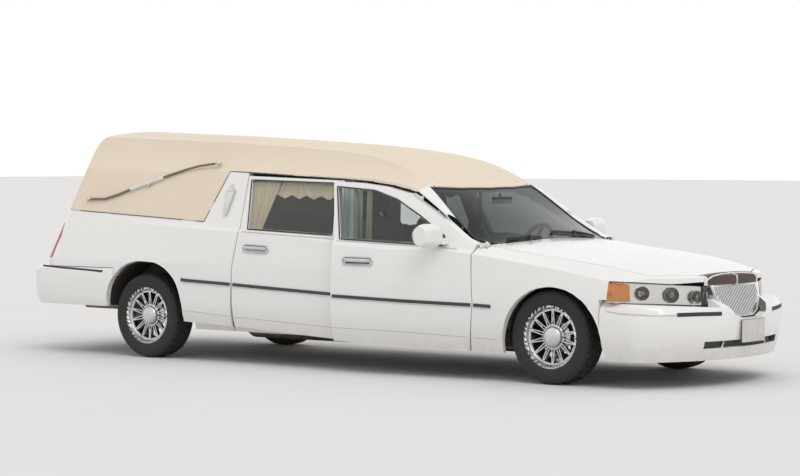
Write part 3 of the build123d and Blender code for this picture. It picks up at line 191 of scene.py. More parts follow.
def path_piece(points, radius, height=0.0, closed=False, smooth=False):
    """Rod along points, or a flat strip that is as high as the height."""
    curve, spline = new_curve("NURBS" if smooth else "POLY", points)
    curve.dimensions = "3D"
    curve.twist_mode = "Z_UP" if height else "MINIMUM"
    spline.use_cyclic_u = closed
    if smooth:
        spline.use_endpoint_u = not closed
        spline.order_u = 3
        spline.resolution_u = 6
    curve.bevel_depth = radius
    curve.bevel_resolution = 3
    curve.use_fill_caps = True
    if height:
        curve.extrude = height / 2 - radius
    bpy.ops.object.convert(target="MESH")
    return bpy.context.object


def turned_piece(profile, steps, place=(0, 0, 0), side=1):
    """Solid of revolution about Y. The profile gives radius and Y."""
    new_curve("POLY", [(radius, along * side, 0) for radius, along in profile])
    bpy.ops.object.convert(target="MESH")
    obj = bpy.context.object
    edit(obj)
    bpy.ops.mesh.spin(steps=steps, angle=2 * math.pi, center=(0, 0, 0), axis=(0, 1, 0))
    leave()
    turn_outward(obj)
    obj.location = place
    settle(obj)
    return obj


def rounded_box(size, place, bevel, segments):
    obj = added(bpy.ops.mesh.primitive_cube_add, size=1, location=place)
    obj.scale = size
    bpy.ops.object.transform_apply(location=False, rotation=False, scale=True)
    bevel_edges(obj, bevel, segments)
    settle(obj)
    return obj


# Finding the surface of the body

trees = {}


def tree(name):
    if name not in trees:
        obj = nodes[name]
        points = [obj.matrix_world @ vertex.co for vertex in obj.data.vertices]
        faces = [tuple(face.vertices) for face in obj.data.polygons]
        trees[name] = BVHTree.FromPolygons(points, faces)
    return trees[name]


def hit(names, start, along):
    """First point of the nodes that a line of sight meets."""
    best = None
    for name in names:
        point, _, _, distance = tree(name).ray_cast(Vector(start), Vector(along))
        if point is not None and (best is None or distance < best[1]):
            best = (point, distance)
    return best[0] if best else None


def side_hit(names, x, z):
    return hit(names, (x, SIDE_START, z), (0, -1, 0))


def top_hit(names, x, y):
    return hit(names, (x, y, TOP_START), (0, 0, -1))


def front_hit(names, y, z):
    return hit(names, (FRONT_START, y, z), (-1, 0, 0))


def back_hit(names, y, z):
    return hit(names, (BACK_START, y, z), (1, 0, 0))


def stations(outline, step, closed=False):
    """Pairs along an outline, about a step apart."""
    places = []
    for (a0, b0), (a1, b1) in zip(outline, outline[1:] + (outline[:1] if closed else [])):
        count = max(1, round(math.hypot(a1 - a0, b1 - b0) / step))
        for number in range(count):
            share = number / count
            places.append((a0 + (a1 - a0) * share, b0 + (b1 - b0) * share))
    return places if closed else places + [outline[-1]]


def side_path(names, outline, proud=0.0, step=0.04, closed=False, start=SIDE_START):
    """Outline in X and Z laid on the nodes' left side."""
    result = []
    for x, z in stations(outline, step, closed):
        point = hit(names, (x, start, z), (0, -1, 0))
        if point is not None:
            result.append(Vector((x, point.y + proud, z)))
    return result


def front_path(names, outline, proud=0.0):
    """Outline in Y and Z laid on the nodes' front."""
    found = [(front_hit(names, y, z), y, z) for y, z in stations(outline, 0.03)]
    return [Vector((point.x + proud, y, z)) for point, y, z in found if point is not None]


def back_path(names, outline, proud):
    """Closed outline in Y and Z laid on the nodes' back."""
    found = [(back_hit(names, y, z), y, z) for y, z in stations(outline, 0.04, closed=True)]
    return [Vector((point.x - proud, y, z)) for point, y, z in found if point is not None]


def top_path(names, outline, proud):
    """Outline in X and Y laid on the nodes' top, up to a step short of its end."""
    found = [(x, y, top_hit(names, x, y)) for x, y in stations(outline, 0.04)[:-1]]
    return [Vector((x, y, point.z + proud)) for x, y, point in found if point is not None]


def lay(names, points, core, proud=0.0):
    """Line through rough points, laid on the nodes as seen from a core point."""
    result = []
    for a, b in zip(points, points[1:]):
        a, b = Vector(a), Vector(b)
        count = max(1, round((b - a).length / 0.03))
        for number in range(count + (b == Vector(points[-1]))):
            rough = a.lerp(b, number / count)
            out = Vector((rough.x - core[0], rough.y - core[1], 0)).normalized()
            found = hit(names, rough + out * LAY_START, -out)
            if found is not None:
                result.append(found + out * proud)
    return result


def grow(outline, distance):
    """Closed outline moved outward by a distance."""
    area = sum(a[0] * b[1] - b[0] * a[1] for a, b in zip(outline, outline[1:] + outline[:1]))
    way = 1 if area > 0 else -1
    result = []
    for number, point in enumerate(outline):
        here = Vector(point)
        first = (here - Vector(outline[number - 1])).normalized()
        second = (Vector(outline[(number + 1) % len(outline)]) - here).normalized()
        first_out = Vector((first.y, -first.x)) * way
        second_out = Vector((second.y, -second.x)) * way
        middle = (first_out + second_out).normalized()
        reach = distance / max(0.5, middle.dot(first_out))
        result.append((here.x + middle.x * reach, here.y + middle.y * reach))
    return result


def height_at(line, x):
    for (xa, za), (xb, zb) in zip(line, line[1:]):
        if xa <= x <= xb:
            return za + (zb - za) * (x - xa) / (xb - xa)
    return line[0][1] if x < line[0][0] else line[-1][1]


def cut_line(line, start, end):
    """The part of a line in X and Z that lies between two places in X."""
    inner = [point for point in line if start < point[0] < end]
    return [(start, height_at(line, start))] + inner + [(end, height_at(line, end))]


# Shader nodes


def put(net, value, socket):
    """Give a socket a number or a colour, or link an output to it."""
    if isinstance(value, (int, float)):
        socket.default_value = value
    elif isinstance(value, tuple):
        socket.default_value = (*value, 1)
    else:
        net.links.new(value, socket)


def calc(net, operation, *values, clamp=False):
    node = net.nodes.new("ShaderNodeMath")
    node.operation = operation
    node.use_clamp = clamp
    for socket, value in zip(node.inputs, values):
        put(net, value, socket)
    return node.outputs[0]


def times(net, first, second, clamp=False):
    return calc(net, "MULTIPLY", first, second, clamp=clamp)


def noise(net, vector, scale, detail, rough):
    node = net.nodes.new("ShaderNodeTexNoise")
    labels = ("Vector", "Scale", "Detail", "Roughness")
    for label, value in zip(labels, (vector, scale, detail, rough)):
        put(net, value, node.inputs[label])
    return node.outputs["Fac"]


def object_place(net):
    return net.nodes.new("ShaderNodeTexCoord").outputs["Object"]


def axes(net, vector):
    """X, Y and Z of a vector."""
    split = net.nodes.new("ShaderNodeSeparateXYZ")
    put(net, vector, split.inputs[0])
    return split.outputs


def mix_colour(net, share, first, second):
    node = net.nodes.new("ShaderNodeMix")
    node.data_type = "RGBA"
    for key, value in zip(("Factor", 6, 7), (share, first, second)):
        put(net, value, node.inputs[key])
    return node.outputs[2]


def new_group(name, build, **inputs):
    """Shader group, whose build function turns its inputs into its outputs."""
    net = bpy.data.node_groups.new(name, "ShaderNodeTree")
    kind = "NodeSocketFloat"
    for label, value in inputs.items():
        socket = net.interface.new_socket(name=label, in_out="INPUT", socket_type=kind)
        socket.default_value = value
    given = net.nodes.new("NodeGroupInput").outputs
    results = build(net, object_place(net), given)
    for label in results:
        net.interface.new_socket(name=label, in_out="OUTPUT", socket_type=kind)
    end = net.nodes.new("NodeGroupOutput")
    for label, value in results.items():
        put(net, value, end.inputs[label])
    return net


def grain(net, place, given):
    """Fine unevenness of a surface: a height, and patches of shade."""
    return {
        "Height": noise(net, place, given["Scale"], 3, 0.6),
        "Shade": noise(net, place, given["Patches"], 4, 0.6),
    }


def pebble(net, place, given):
    """Pebbled skin of padded vinyl or leather."""
    cells = net.nodes.new("ShaderNodeTexVoronoi")
    cells.feature = "SMOOTH_F1"
    put(net, place, cells.inputs["Vector"])
    put(net, given["Scale"], cells.inputs["Scale"])
    return {"Height": cells.outputs["Distance"]}


def weave(net, place, given):
    """Plain weave of crossing threads."""
    here = axes(net, place)
    x, y, z = (calc(net, "SINE", times(net, here[axis], given["Scale"])) for axis in "XYZ")
    return {"Height": calc(net, "ADD", times(net, x, z), times(net, y, 0.3))}


def road_dirt(net, place, given):
    """Full at the ground, gone at a height, broken up by noise."""
    share = calc(net, "DIVIDE", axes(net, place)["Z"], given["Top"])
    fade = calc(net, "SUBTRACT", 1.0, share, clamp=True)
    blotch = times(net, noise(net, place, 9, 6, 0.65), 1.6)
    return {"Mask": times(net, times(net, fade, blotch), given["Amount"], clamp=True)}


SHOULDER_Z = 0.95  # faces above this are judged by whether they look down
CABIN_Y = 0.93  # faces further out belong to the outer skin


def inner_faces(net, place, given):
    """Faces of a body panel that look towards the cabin."""
    here = axes(net, place)
    facing = axes(net, net.nodes.new("ShaderNodeTexCoord").outputs["Normal"])
    across = times(net, here["Y"], facing["Y"])
    high = calc(net, "SUBTRACT", here["Z"], SHOULDER_Z)
    up = times(net, times(net, high, facing["Z"]), calc(net, "GREATER_THAN", high, 0.0))
    along = times(net, times(net, here["X"], facing["X"]), 0.12)
    total = calc(net, "ADD", calc(net, "ADD", across, up), along)
    inside = calc(net, "LESS_THAN", total, -0.1)
    near = calc(net, "LESS_THAN", calc(net, "ABSOLUTE", here["Y"]), CABIN_Y)
    return {"Mask": times(net, inside, near)}


GRAIN = new_group("surface grain", grain, Scale=300, Patches=3)
PEBBLE = new_group("pebble", pebble, Scale=350)
WEAVE = new_group("weave", weave, Scale=900)
DIRT = new_group("road dirt", road_dirt, Top=0.4, Amount=0.5)
INNER = new_group("inner faces", inner_faces)


def place_group(net, shared, **values):
    node = net.nodes.new("ShaderNodeGroup")
    node.node_tree = shared
    for label, value in values.items():
        node.inputs[label].default_value = value
    return node.outputs


# Materials


def new_material(name, **settings):
    """Material whose settings are sockets of its shader, with _ for a space."""
    material = bpy.data.materials.new(name)
    material.use_nodes = True
    net = material.node_tree
    skin = net.nodes["Principled BSDF"].inputs
    for label, value in settings.items():
        skin[label.replace("_", " ")].default_value = value
    return material, net, skin


def finish(
    name, colour, second=None, rough=0.5, metal=0.0, coat=0.0, scale=300, patches=3, bump=0.0,
    relief=GRAIN, dirt=0.0, dirt_top=0.4, dirt_colour=(0.26, 0.22, 0.17), inner=None, contrast=0.6,
):
    """Opaque finish with grain, patches of shade, road dirt and inner faces."""
    material, net, skin = new_material(
        name, Metallic=metal, Coat_Weight=coat, Coat_Roughness=0.08
    )
    uneven = place_group(net, GRAIN, Scale=scale, Patches=patches)
    second = second or tuple(part * 0.88 for part in colour)
    share = times(net, calc(net, "SUBTRACT", uneven["Shade"], 0.5), contrast * 4)
    share = calc(net, "ADD", share, 0.5, clamp=True)
    shade = mix_colour(net, share, colour, second)
    roughness = calc(net, "MULTIPLY_ADD", uneven["Shade"], 0.16, rough - 0.08)
    if inner:
        mask = place_group(net, INNER)["Mask"]
        shade = mix_colour(net, mask, shade, inner)
        roughness = calc(net, "MAXIMUM", roughness, times(net, mask, 0.75))
    if dirt:
        mask = place_group(net, DIRT, Top=dirt_top, Amount=dirt)["Mask"]
        shade = mix_colour(net, mask, shade, dirt_colour)
        roughness = calc(net, "ADD", roughness, times(net, mask, 0.5), clamp=True)
    put(net, shade, skin["Base Color"])
    put(net, roughness, skin["Roughness"])
    if bump:
        node = net.nodes.new("ShaderNodeBump")
        node.inputs["Distance"].default_value = bump
        node.inputs["Strength"].default_value = 0.6
        source = uneven if relief is GRAIN else place_group(net, relief, Scale=scale)
        put(net, source["Height"], node.inputs["Height"])
        put(net, node.outputs["Normal"], skin["Normal"])
    return material


def glass(name, colour, rough=0.02, bend=1.45):
    material, net, skin = new_material(name, Transmission_Weight=1.0, Roughness=rough, IOR=bend)
    uneven = place_group(net, GRAIN, Scale=40, Patches=2)
    light = tuple(min(1, part * 1.06) for part in colour)
    put(net, mix_colour(net, uneven["Shade"], colour, light), skin["Base Color"])
    return material


TRIM = (0.13, 0.125, 0.12)
paint = finish(
    "white paint", (0.80, 0.79, 0.765), (0.77, 0.76, 0.73), 0.24, coat=0.5, scale=900,
    patches=1.2, dirt=0.55, dirt_top=0.42, inner=TRIM, contrast=0.3,
)
vinyl = finish(
    "tan vinyl", (0.76, 0.655, 0.525), (0.72, 0.61, 0.48), 0.6, scale=420, patches=1.4,
    bump=0.0006, relief=PEBBLE, inner=(0.42, 0.40, 0.36), contrast=0.4,
)
# Chrome: its colour lowered and mottled as painted reflection of dark surroundings
chrome = finish(
    "chrome", (0.66, 0.66, 0.65), (0.50, 0.50, 0.49), 0.12, metal=1.0, scale=500, patches=9,
)
dull_chrome = finish(
    "worn bar metal", (0.34, 0.31, 0.26), (0.20, 0.18, 0.15), 0.32, metal=1.0, scale=400,
    patches=30,
)
alloy = finish(
    "wheel alloy", (0.74, 0.74, 0.74), (0.60, 0.59, 0.57), 0.22, metal=1.0, coat=0.3, scale=700,
    patches=14, dirt=0.35, dirt_top=0.5, dirt_colour=(0.16, 0.13, 0.10),
)
black_rubber = finish(
    "black rubber", (0.022, 0.022, 0.023), (0.035, 0.034, 0.033), 0.62, scale=600, bump=0.0002,
)
black_plastic = finish(
    "black plastic", (0.03, 0.03, 0.031), (0.045, 0.044, 0.043), 0.5, scale=900, bump=0.0001,
)
tyre_rubber = finish(
    "tyre rubber", (0.014, 0.014, 0.015), (0.024, 0.023, 0.022), 0.75, scale=500, patches=11,
    bump=0.0003, dirt=0.3, dirt_top=0.5, dirt_colour=(0.06, 0.053, 0.044),
)
white_lacquer = finish("white sleeve", (0.76, 0.75, 0.72), rough=0.35, coat=0.3, patches=20)
cabin_plastic = finish(
    "cabin plastic", TRIM, (0.10, 0.097, 0.094), 0.6, scale=700, bump=0.0003, relief=PEBBLE,
)
chassis_paint = finish(
    "chassis paint", (0.026, 0.026, 0.027), (0.045, 0.040, 0.035), 0.6, scale=200, patches=7,
    bump=0.0003, dirt=0.35, dirt_top=0.5, dirt_colour=(0.13, 0.11, 0.085),
)
cast_metal = finish(
    "cast metal", (0.13, 0.125, 0.12), (0.16, 0.11, 0.08), 0.65, metal=0.4, scale=250,
    patches=12, bump=0.0006, dirt=0.5, dirt_top=0.5,
)
exhaust_metal = finish(
    "exhaust metal", (0.26, 0.235, 0.21), (0.20, 0.125, 0.075), 0.5, metal=0.7, scale=220,
    patches=9, bump=0.0003,
)
radiator_metal = finish(
    "radiator core", (0.10, 0.10, 0.105), rough=0.5, metal=0.6, scale=900, bump=0.0005,
)
seat_cloth = finish(
    "seat cloth", (0.20, 0.18, 0.155), (0.165, 0.15, 0.13), 0.85, scale=2400, patches=6,
    bump=0.0004, relief=WEAVE,
)
curtain_cloth = finish(
    "curtain cloth", (0.80, 0.72, 0.56), (0.74, 0.66, 0.50), 0.9, scale=3000, patches=5,
    bump=0.0002, relief=WEAVE,
)
plate_paint = finish(
    "blank plate", (0.70, 0.69, 0.66), (0.60, 0.59, 0.56), 0.4, patches=16, dirt=0.5,
    dirt_top=0.8,
)
window_glass = glass("window glass", (0.60, 0.69, 0.665))
pale_glass = glass("rear door glass", (0.88, 0.885, 0.85))
# Windshield glass coloured dark: painted reflection of dark surroundings
windshield_painted_reflection = glass("windshield glass", (0.13, 0.155, 0.15), bend=1.22)
lens_glass = glass("lamp lens", (0.93, 0.94, 0.95), 0.04)
red_lens = finish(
    "red lens", (0.42, 0.012, 0.016), (0.30, 0.01, 0.014), 0.34, coat=0.1, scale=120,
    patches=5, bump=0.0006,
)
amber_lens = finish(
    "amber lens", (0.92, 0.34, 0.025), (0.80, 0.26, 0.02), 0.15, coat=0.8, scale=160,
    patches=12, bump=0.0005,
)
reflector = finish(
    "lamp reflector", (0.78, 0.77, 0.73), (0.70, 0.68, 0.62), 0.22, metal=0.9, patches=12,
)
mirror_glass = finish(
    "mirror glass", (0.62, 0.64, 0.66), (0.60, 0.62, 0.64), 0.06, metal=1.0, scale=50, patches=2,
)
bead_metal = finish(
    "vinyl bead", (0.10, 0.085, 0.07), (0.20, 0.175, 0.15), 0.35, metal=0.6, patches=14,
)
# Grey of the rocker crease: painted shade of the crease
crease_shade = finish(
    "crease shade", (0.34, 0.33, 0.31), (0.46, 0.45, 0.43), 0.6, patches=9, dirt=0.6,
    dirt_top=0.5,
)


def make_deck_wood():
    """Boards along X with dark joints between them."""
    material, net, skin = new_material("deck boards", Coat_Weight=0.4)
    place = object_place(net)
    stretch = net.nodes.new("ShaderNodeMapping")
    stretch.inputs["Scale"].default_value = (1.2, 26, 26)
    put(net, place, stretch.inputs["Vector"])
    fibre = noise(net, stretch.outputs["Vector"], 4, 6, 0.6)
    shade = mix_colour(net, fibre, (0.30, 0.155, 0.07), (0.14, 0.065, 0.03))
    board = calc(net, "PINGPONG", axes(net, place)["Y"], 0.05)
    joint = calc(net, "LESS_THAN", board, 0.0018)
    shade = mix_colour(net, joint, shade, (0.03, 0.018, 0.01))
    put(net, shade, skin["Base Color"])
    put(net, calc(net, "MULTIPLY_ADD", fibre, 0.2, 0.25), skin["Roughness"])
    return material


HEADER_FOOT = 0.7  # Z where the shield of bars ends and the header starts
STRIP_HALF = 0.009  # half width of the bright strip in the middle


def make_grille_metal():
    """Bright bars under a header whose chrome has flaked off."""
    material, net, skin = new_material("grille metal")
    place = object_place(net)
    here = axes(net, place)
    blotch = noise(net, place, 22, 8, 0.7)
    across = calc(net, "ABSOLUTE", here["Y"])
    reach = calc(net, "MULTIPLY_ADD", blotch, 0.12, 0.275)
    flaked = calc(net, "LESS_THAN", across, reach)
    middle = calc(net, "GREATER_THAN", across, STRIP_HALF)
    above = calc(net, "GREATER_THAN", here["Z"], HEADER_FOOT)
    flaked = times(net, flaked, times(net, middle, above))
    fine = noise(net, place, 140, 5, 0.7)
    rust = mix_colour(net, fine, (0.028, 0.022, 0.018), (0.12, 0.075, 0.05))
    bright = mix_colour(net, blotch, (0.80, 0.80, 0.79), (0.66, 0.66, 0.65))
    put(net, mix_colour(net, flaked, bright, rust), skin["Base Color"])
    put(net, calc(net, "SUBTRACT", 1.0, flaked), skin["Metallic"])
    put(net, calc(net, "MULTIPLY_ADD", flaked, 0.55, 0.12), skin["Roughness"])
    return material


BAR_REAR = -2.455  # X between the rear ball and the bar
BAR_FRONT = -1.198  # X between the bar and the front ball


def make_bar_metal():
    """Bronzed bars between bright balls, with the emblems bright too."""
    material, net, skin = new_material("bar metal", Metallic=1.0)
    place = object_place(net)
    x = axes(net, place)["X"]
    rear = calc(net, "GREATER_THAN", x, BAR_REAR)
    bar = times(net, rear, calc(net, "LESS_THAN", x, BAR_FRONT))
    blotch = noise(net, place, 30, 5, 0.6)
    bronze = mix_colour(net, blotch, (0.27, 0.24, 0.20), (0.15, 0.13, 0.11))
    bright = mix_colour(net, blotch, (0.70, 0.69, 0.66), (0.52, 0.51, 0.48))
    put(net, mix_colour(net, bar, bright, bronze), skin["Base Color"])
    put(net, calc(net, "MULTIPLY_ADD", bar, 0.22, 0.14), skin["Roughness"])
    return material


SLOT_LOOKS = {
    "paint_white": paint,
    "vinyl_tan": vinyl,
    "window_glass": window_glass,
    "curtain_cloth": curtain_cloth,
    "lamp_red": red_lens,
    "lamp_clear": lens_glass,
    "bright_metal": chrome,
    "plate_blank": plate_paint,
    "black_steel": chassis_paint,
    "deck_wood": make_deck_wood(),
    "roller_rubber": black_rubber,
    "cabin_plastic": cabin_plastic,
    "black_plastic": black_plastic,
    "seat_fabric": seat_cloth,
    "cast_metal": cast_metal,
    "radiator_metal": radiator_metal,
    "exhaust_steel": exhaust_metal,
    "tyre_rubber": tyre_rubber,
    "rim_alloy": alloy,
}
OTHER_LOOKS = {
    "grille": make_grille_metal(),
    "wheel_housings": chassis_paint,
    "firewall": paint,
    "windshield": windshield_painted_reflection,
    "glass_rear_left": pale_glass,
    "glass_rear_right": pale_glass,
    "landau_trim": make_bar_metal(),
}
for part in frame["record"]["subparts"]:
    look = OTHER_LOOKS.get(part["node"], SLOT_LOOKS[part["material_slot"]])
    nodes[part["node"]].data.materials.clear()
    nodes[part["node"]].data.materials.append(look)

# Slot and look of the small pieces
BRIGHT = ("bright_metal", chrome)
SLEEVE = ("bright_metal", white_lacquer)
DARK = ("black_plastic", black_plastic)
RUBBER = ("black_plastic", black_rubber)
PAINTED = ("paint_white", paint)
ALLOY = ("rim_alloy", alloy)

# Body panels: welded and shaded as one pressed surface, with their edges kept crisp

PRESSED = (
    "roof", "quarter_panels", "side_frames", "fenders", "hood", "bumper_front", "bumper_rear",
    "door_front_left", "door_front_right", "door_rear_left", "door_rear_right", "rear_door",
    "windshield", "landau_trim", "tail_lamps", "headlamps", "glass_front_left",
    "glass_front_right",
)
for name in PRESSED:
    panel = nodes[name]
    panel.data.polygons.foreach_set("use_smooth", [True] * len(panel.data.polygons))
    weld = panel.modifiers.new("weld", "WELD")
    weld.merge_threshold = CAD_WELD
    crisp = panel.modifiers.new("crisp edges", "EDGE_SPLIT")
    crisp.split_angle = math.radians(26)
    even = panel.modifiers.new("even shade", "WEIGHTED_NORMAL")
    even.keep_sharp = True

# Tyres: a spun section with grooves, its shoulders cut into blocks

TREAD_STEPS = 120
# Grooves between the blocks: Y from and to, least radius, and one face in so many
TREAD_CUTS = ((0.061, 0.0905, 0.322, 3), (0.0225, 0.0505, 0.3305, 4))


def make_tyre():
    shoulder = [(0.209, 0.084), (0.216, 0.094), (0.232, 0.1035), (0.245, 0.1085), (0.262, 0.1115)]
    wall = [(0.275, 0.1118), (0.277, 0.1104), (0.281, 0.1104), (0.283, 0.1116), (0.292, 0.1110)]
    crown = [(0.306, 0.1065), (0.318, 0.0985), (0.3245, 0.0905), (0.3285, 0.0815)]
    half = shoulder + wall + crown
    for edge in (0.060, 0.022):
        half += [(0.3310, edge), (0.3245, edge - 0.001)]
        half += [(0.3245, edge - 0.008), (0.3318, edge - 0.009)]
    section = half + [(r, -y) for r, y in reversed(half)]
    section += [(0.209, -0.084)]
    obj = turned_piece(section, TREAD_STEPS)
    edit(obj, "DESELECT")
    leave()
    for face in obj.data.polygons:
        middle = face.center
        radius = math.hypot(middle.x, middle.z)
        turn = round(math.atan2(middle.z, middle.x) / (2 * math.pi) * TREAD_STEPS - 0.5)
        turn += middle.y > 0
        face.select = any(
            low < abs(middle.y) < high and radius > least and turn % every == 0
            for low, high, least, every in TREAD_CUTS
        )
    bpy.ops.object.mode_set(mode="EDIT")
    bpy.ops.mesh.select_mode(type="FACE")
    bpy.ops.mesh.inset(thickness=0.0022, depth=-0.0055, use_individual=False)
    leave()
    return obj


first_tyre = make_tyre()
cap_profile = [
    (0.0005, 0.0925), (0.03, 0.0915), (0.052, 0.0875), (0.066, 0.0800), (0.0735, 0.0700),
    (0.0765, 0.0585),
]
for end, hand, side, hub in WHEELS:
    body = f"{end}_wheel_{hand}"
    tyre = copy_piece(first_tyre)
    tyre.location = hub
    finish_piece(tyre, f"tyre_tread_{end}_{hand}", body, "tyre_rubber", tyre_rubber, 35)
    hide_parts(f"tyre_{end}_{hand}")
    cap = turned_piece(cap_profile, 48, hub, side)
    finish_piece(cap, f"wheel_cap_{end}_{hand}", body, *ALLOY)
bpy.data.objects.remove(first_tyre)

# Rims: each spoke is split from the hub outwards, so that it reads as a V

SPOKES = 14  # as many as the solid has
SLOT_INNER, SLOT_OUTER = 0.090, 0.168  # radii at the ends of a slot
SLOT_HUB_HALF, SLOT_TIP_HALF = 0.0072, 0.0016  # half widths at those ends
SLOT_BACK, SLOT_FACE = 0.0258, 0.100  # Y from the middle of the wheel


def spoke_slots():
    """Wedges through the spoked face, one in the middle of each spoke."""
    wedges = []
    for number in range(SPOKES):
        wedge = added(bpy.ops.mesh.primitive_cube_add, size=2, location=(0, 0, 0))
        for vertex in wedge.data.vertices:
            outer = vertex.co.x > 0
            vertex.co.z *= SLOT_TIP_HALF if outer else SLOT_HUB_HALF
            vertex.co.x = SLOT_OUTER if outer else SLOT_INNER
            vertex.co.y = SLOT_FACE if vertex.co.y > 0 else SLOT_BACK
        wedge.rotation_euler = (0, 2 * math.pi * (number + 0.5) / SPOKES, 0)
        settle(wedge)
        wedges.append(wedge)
    return join(wedges)


first_slots = spoke_slots()
for end, hand, side, hub in WHEELS:
    node = f"rim_{end}_{hand}"
    rim = copy_node(node)
    slots = copy_piece(first_slots)
    slots.scale = (1, side, 1)
    slots.location = hub
    settle(slots)
    turn_outward(slots)
    cut = rim.modifiers.new("slots", "BOOLEAN")
    cut.operation = "DIFFERENCE"
    cut.solver = "EXACT"
    cut.object = slots
    apply_modifiers(rim)
    bpy.data.objects.remove(slots)
    finish_piece(rim, f"spoked_rim_{end}_{hand}", f"{end}_wheel_{hand}", *ALLOY, 30)
    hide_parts(node)
bpy.data.objects.remove(first_slots)

# Twins of the two sides

AJAR = math.radians(5)
RIGHT_HINGE = Vector((X_DOOR, -0.988, 0))


def both(obj, name, body, slot, material, angle=40):
    """Finish a left-hand piece and its twin. A body that differs by side holds a {}."""
    settle(obj)
    twin = copy_piece(obj)
    twin.scale = (1, -1, 1)
    settle(twin)
    turn_outward(twin)
    if body.startswith("front_door"):
        swing = Matrix.Translation(RIGHT_HINGE) @ Matrix.Rotation(AJAR, 4, "Z")
        twin.matrix_world = swing @ Matrix.Translation(-RIGHT_HINGE)
        settle(twin)
    finish_piece(obj, f"{name}_left", body.format("left"), slot, material, angle)
    finish_piece(twin, f"{name}_right", body.format("right"), slot, material, angle)


def trim(name, body, look, angle, points, radius, height=0.0, **shape):
    """Rod or strip along points on the left side, with its twin."""
    both(path_piece(points, radius, height, **shape), name, body, *look, angle)


# Side mouldings: a dark strip over a bright lower edge

MOULDING = [
    (-1.345, 0.632), (-1.290, 0.628), (-0.886, 0.614), (-0.504, 0.598), (0.232, 0.569),
    (0.270, 0.566), (0.860, 0.549), (1.489, 0.538), (1.620, 0.534),
]
SIDE_RUNS = (
    ("quarter", -1.345, X_CPOST - 0.016, "quarter_panels", "body"),
    ("rear_door", X_CPOST + 0.016, X_BPOST - 0.014, "door_rear_left", "rear_door_{}"),
    ("front_door", X_BPOST + 0.018, X_DOOR - 0.014, "door_front_left", "front_door_{}"),
    ("fender", X_DOOR + 0.014, 1.622, "fenders", "body"),
)
for label, start, end, node, body in SIDE_RUNS:
    run = cut_line(MOULDING, start, end)
    strip = side_path([node], run, 0.003)
    trim(f"side_moulding_{label}", body, DARK, 30, strip, 0.005, 0.025)
    edge = side_path([node], [(x, z - 0.0145) for x, z in run], 0.0035)
    trim(f"moulding_edge_{label}", body, BRIGHT, 30, edge, 0.0032, 0.009)

# Rocker crease, a fine grey line along the foot of the sides: painted shade of the crease

ROCKER = [
    (-1.345, 0.393), (-0.843, 0.364), (0.20, 0.322), (0.27, 0.333), (0.85, 0.325), (1.66, 0.300),
]
for label, start, end, node, body in SIDE_RUNS:
    start = start if label != "quarter" else -1.335
    end = end if label != "fender" else 1.655
    crease = side_path([node], cut_line(ROCKER, start, end), -0.0006)
    trim(f"rocker_crease_{label}", body, ("paint_white", crease_shade), 40, crease, 0.0018)

# Belt mouldings under the windows

BEHIND_MIRROR = 0.962  # Y between the door's skin and the mirror that stands off it
BELT_REAR = [(-0.792, 1.018), (-0.412, 1.001), (0.222, 0.975)]
belt = side_path(["door_rear_left"], BELT_REAR, 0.001)
trim("belt_moulding_rear", "rear_door_{}", BRIGHT, 30, belt, 0.0035, 0.011)
BELT_FRONT = [(0.266, 0.971), (0.603, 0.960), (0.797, 0.953), (1.30, 0.929)]
belt = side_path(["door_front_left"], BELT_FRONT, 0.001, start=BEHIND_MIRROR)
trim("belt_moulding_front", "front_door_{}", BRIGHT, 30, belt, 0.0035, 0.011)

# Rubber round the door windows

FRONT_WINDOW = [
    (0.292, 0.990), (1.164, 0.956), (1.164, 1.014), (0.924, 1.158), (0.714, 1.270), (0.504, 1.334),
    (0.176, 1.360),
]
REAR_WINDOW = [(-0.709, 1.040), (0.116, 1.010), (0.034, 1.383), (-0.785, 1.402)]
for end, window, start in (
    ("front", FRONT_WINDOW, BEHIND_MIRROR),
    ("rear", REAR_WINDOW, SIDE_START),
):
    line = side_path([f"door_{end}_left"], grow(window, 0.006), -0.001, closed=True, start=start)
    trim(f"window_rubber_{end}", f"{end}_door_{{}}", RUBBER, 40, line, 0.006, closed=True)

# Door handles: oval rim, dark recess and a pull


def oval(x, z, width, height, count=36):
    """Long oval as X and Z."""
    radius = height / 2
    reach = width / 2 - radius
    result = []
    for number in range(count):
        angle = 2 * math.pi * number / count
        shift = reach * max(-1, min(1, math.cos(angle) * 3))
        result.append((x + shift + radius * math.cos(angle), z + radius * math.sin(angle)))
    return result


def door_handle(label, x, z, node, body, tilt):
    def laid(points, proud, **more):
        return side_path([node], [(a, b + (a - x) * tilt) for a, b in points], proud, **more)

    rim_points = laid(oval(x, z, 0.262, 0.058), 0.002, step=1, closed=True)
    trim(f"handle_rim_{label}", body, BRIGHT, 40, rim_points, 0.0065, closed=True)
    cup_points = laid([(x - 0.105, z - 0.004), (x + 0.105, z - 0.004)], -0.001)
    trim(f"handle_recess_{label}", body, DARK, 40, cup_points, 0.0025, 0.040)
    reach = 0.112
    points = laid([(x - reach, z + 0.006), (x + reach, z + 0.006)], 0.0)
    for point in points:
        share = (point.x - x) / reach
        point.y += 0.020 - 0.012 * share * share
    trim(f"handle_pull_{label}", body, BRIGHT, 50, points, 0.0085, 0.027, smooth=True)


door_handle("rear_door", -0.592, 0.887, "door_rear_left", "rear_door_{}", -0.035)
door_handle("front_door", 0.480, 0.826, "door_front_left", "front_door_{}", -0.012)

# Bead along the lower edge of the vinyl, and the two seams on the roof

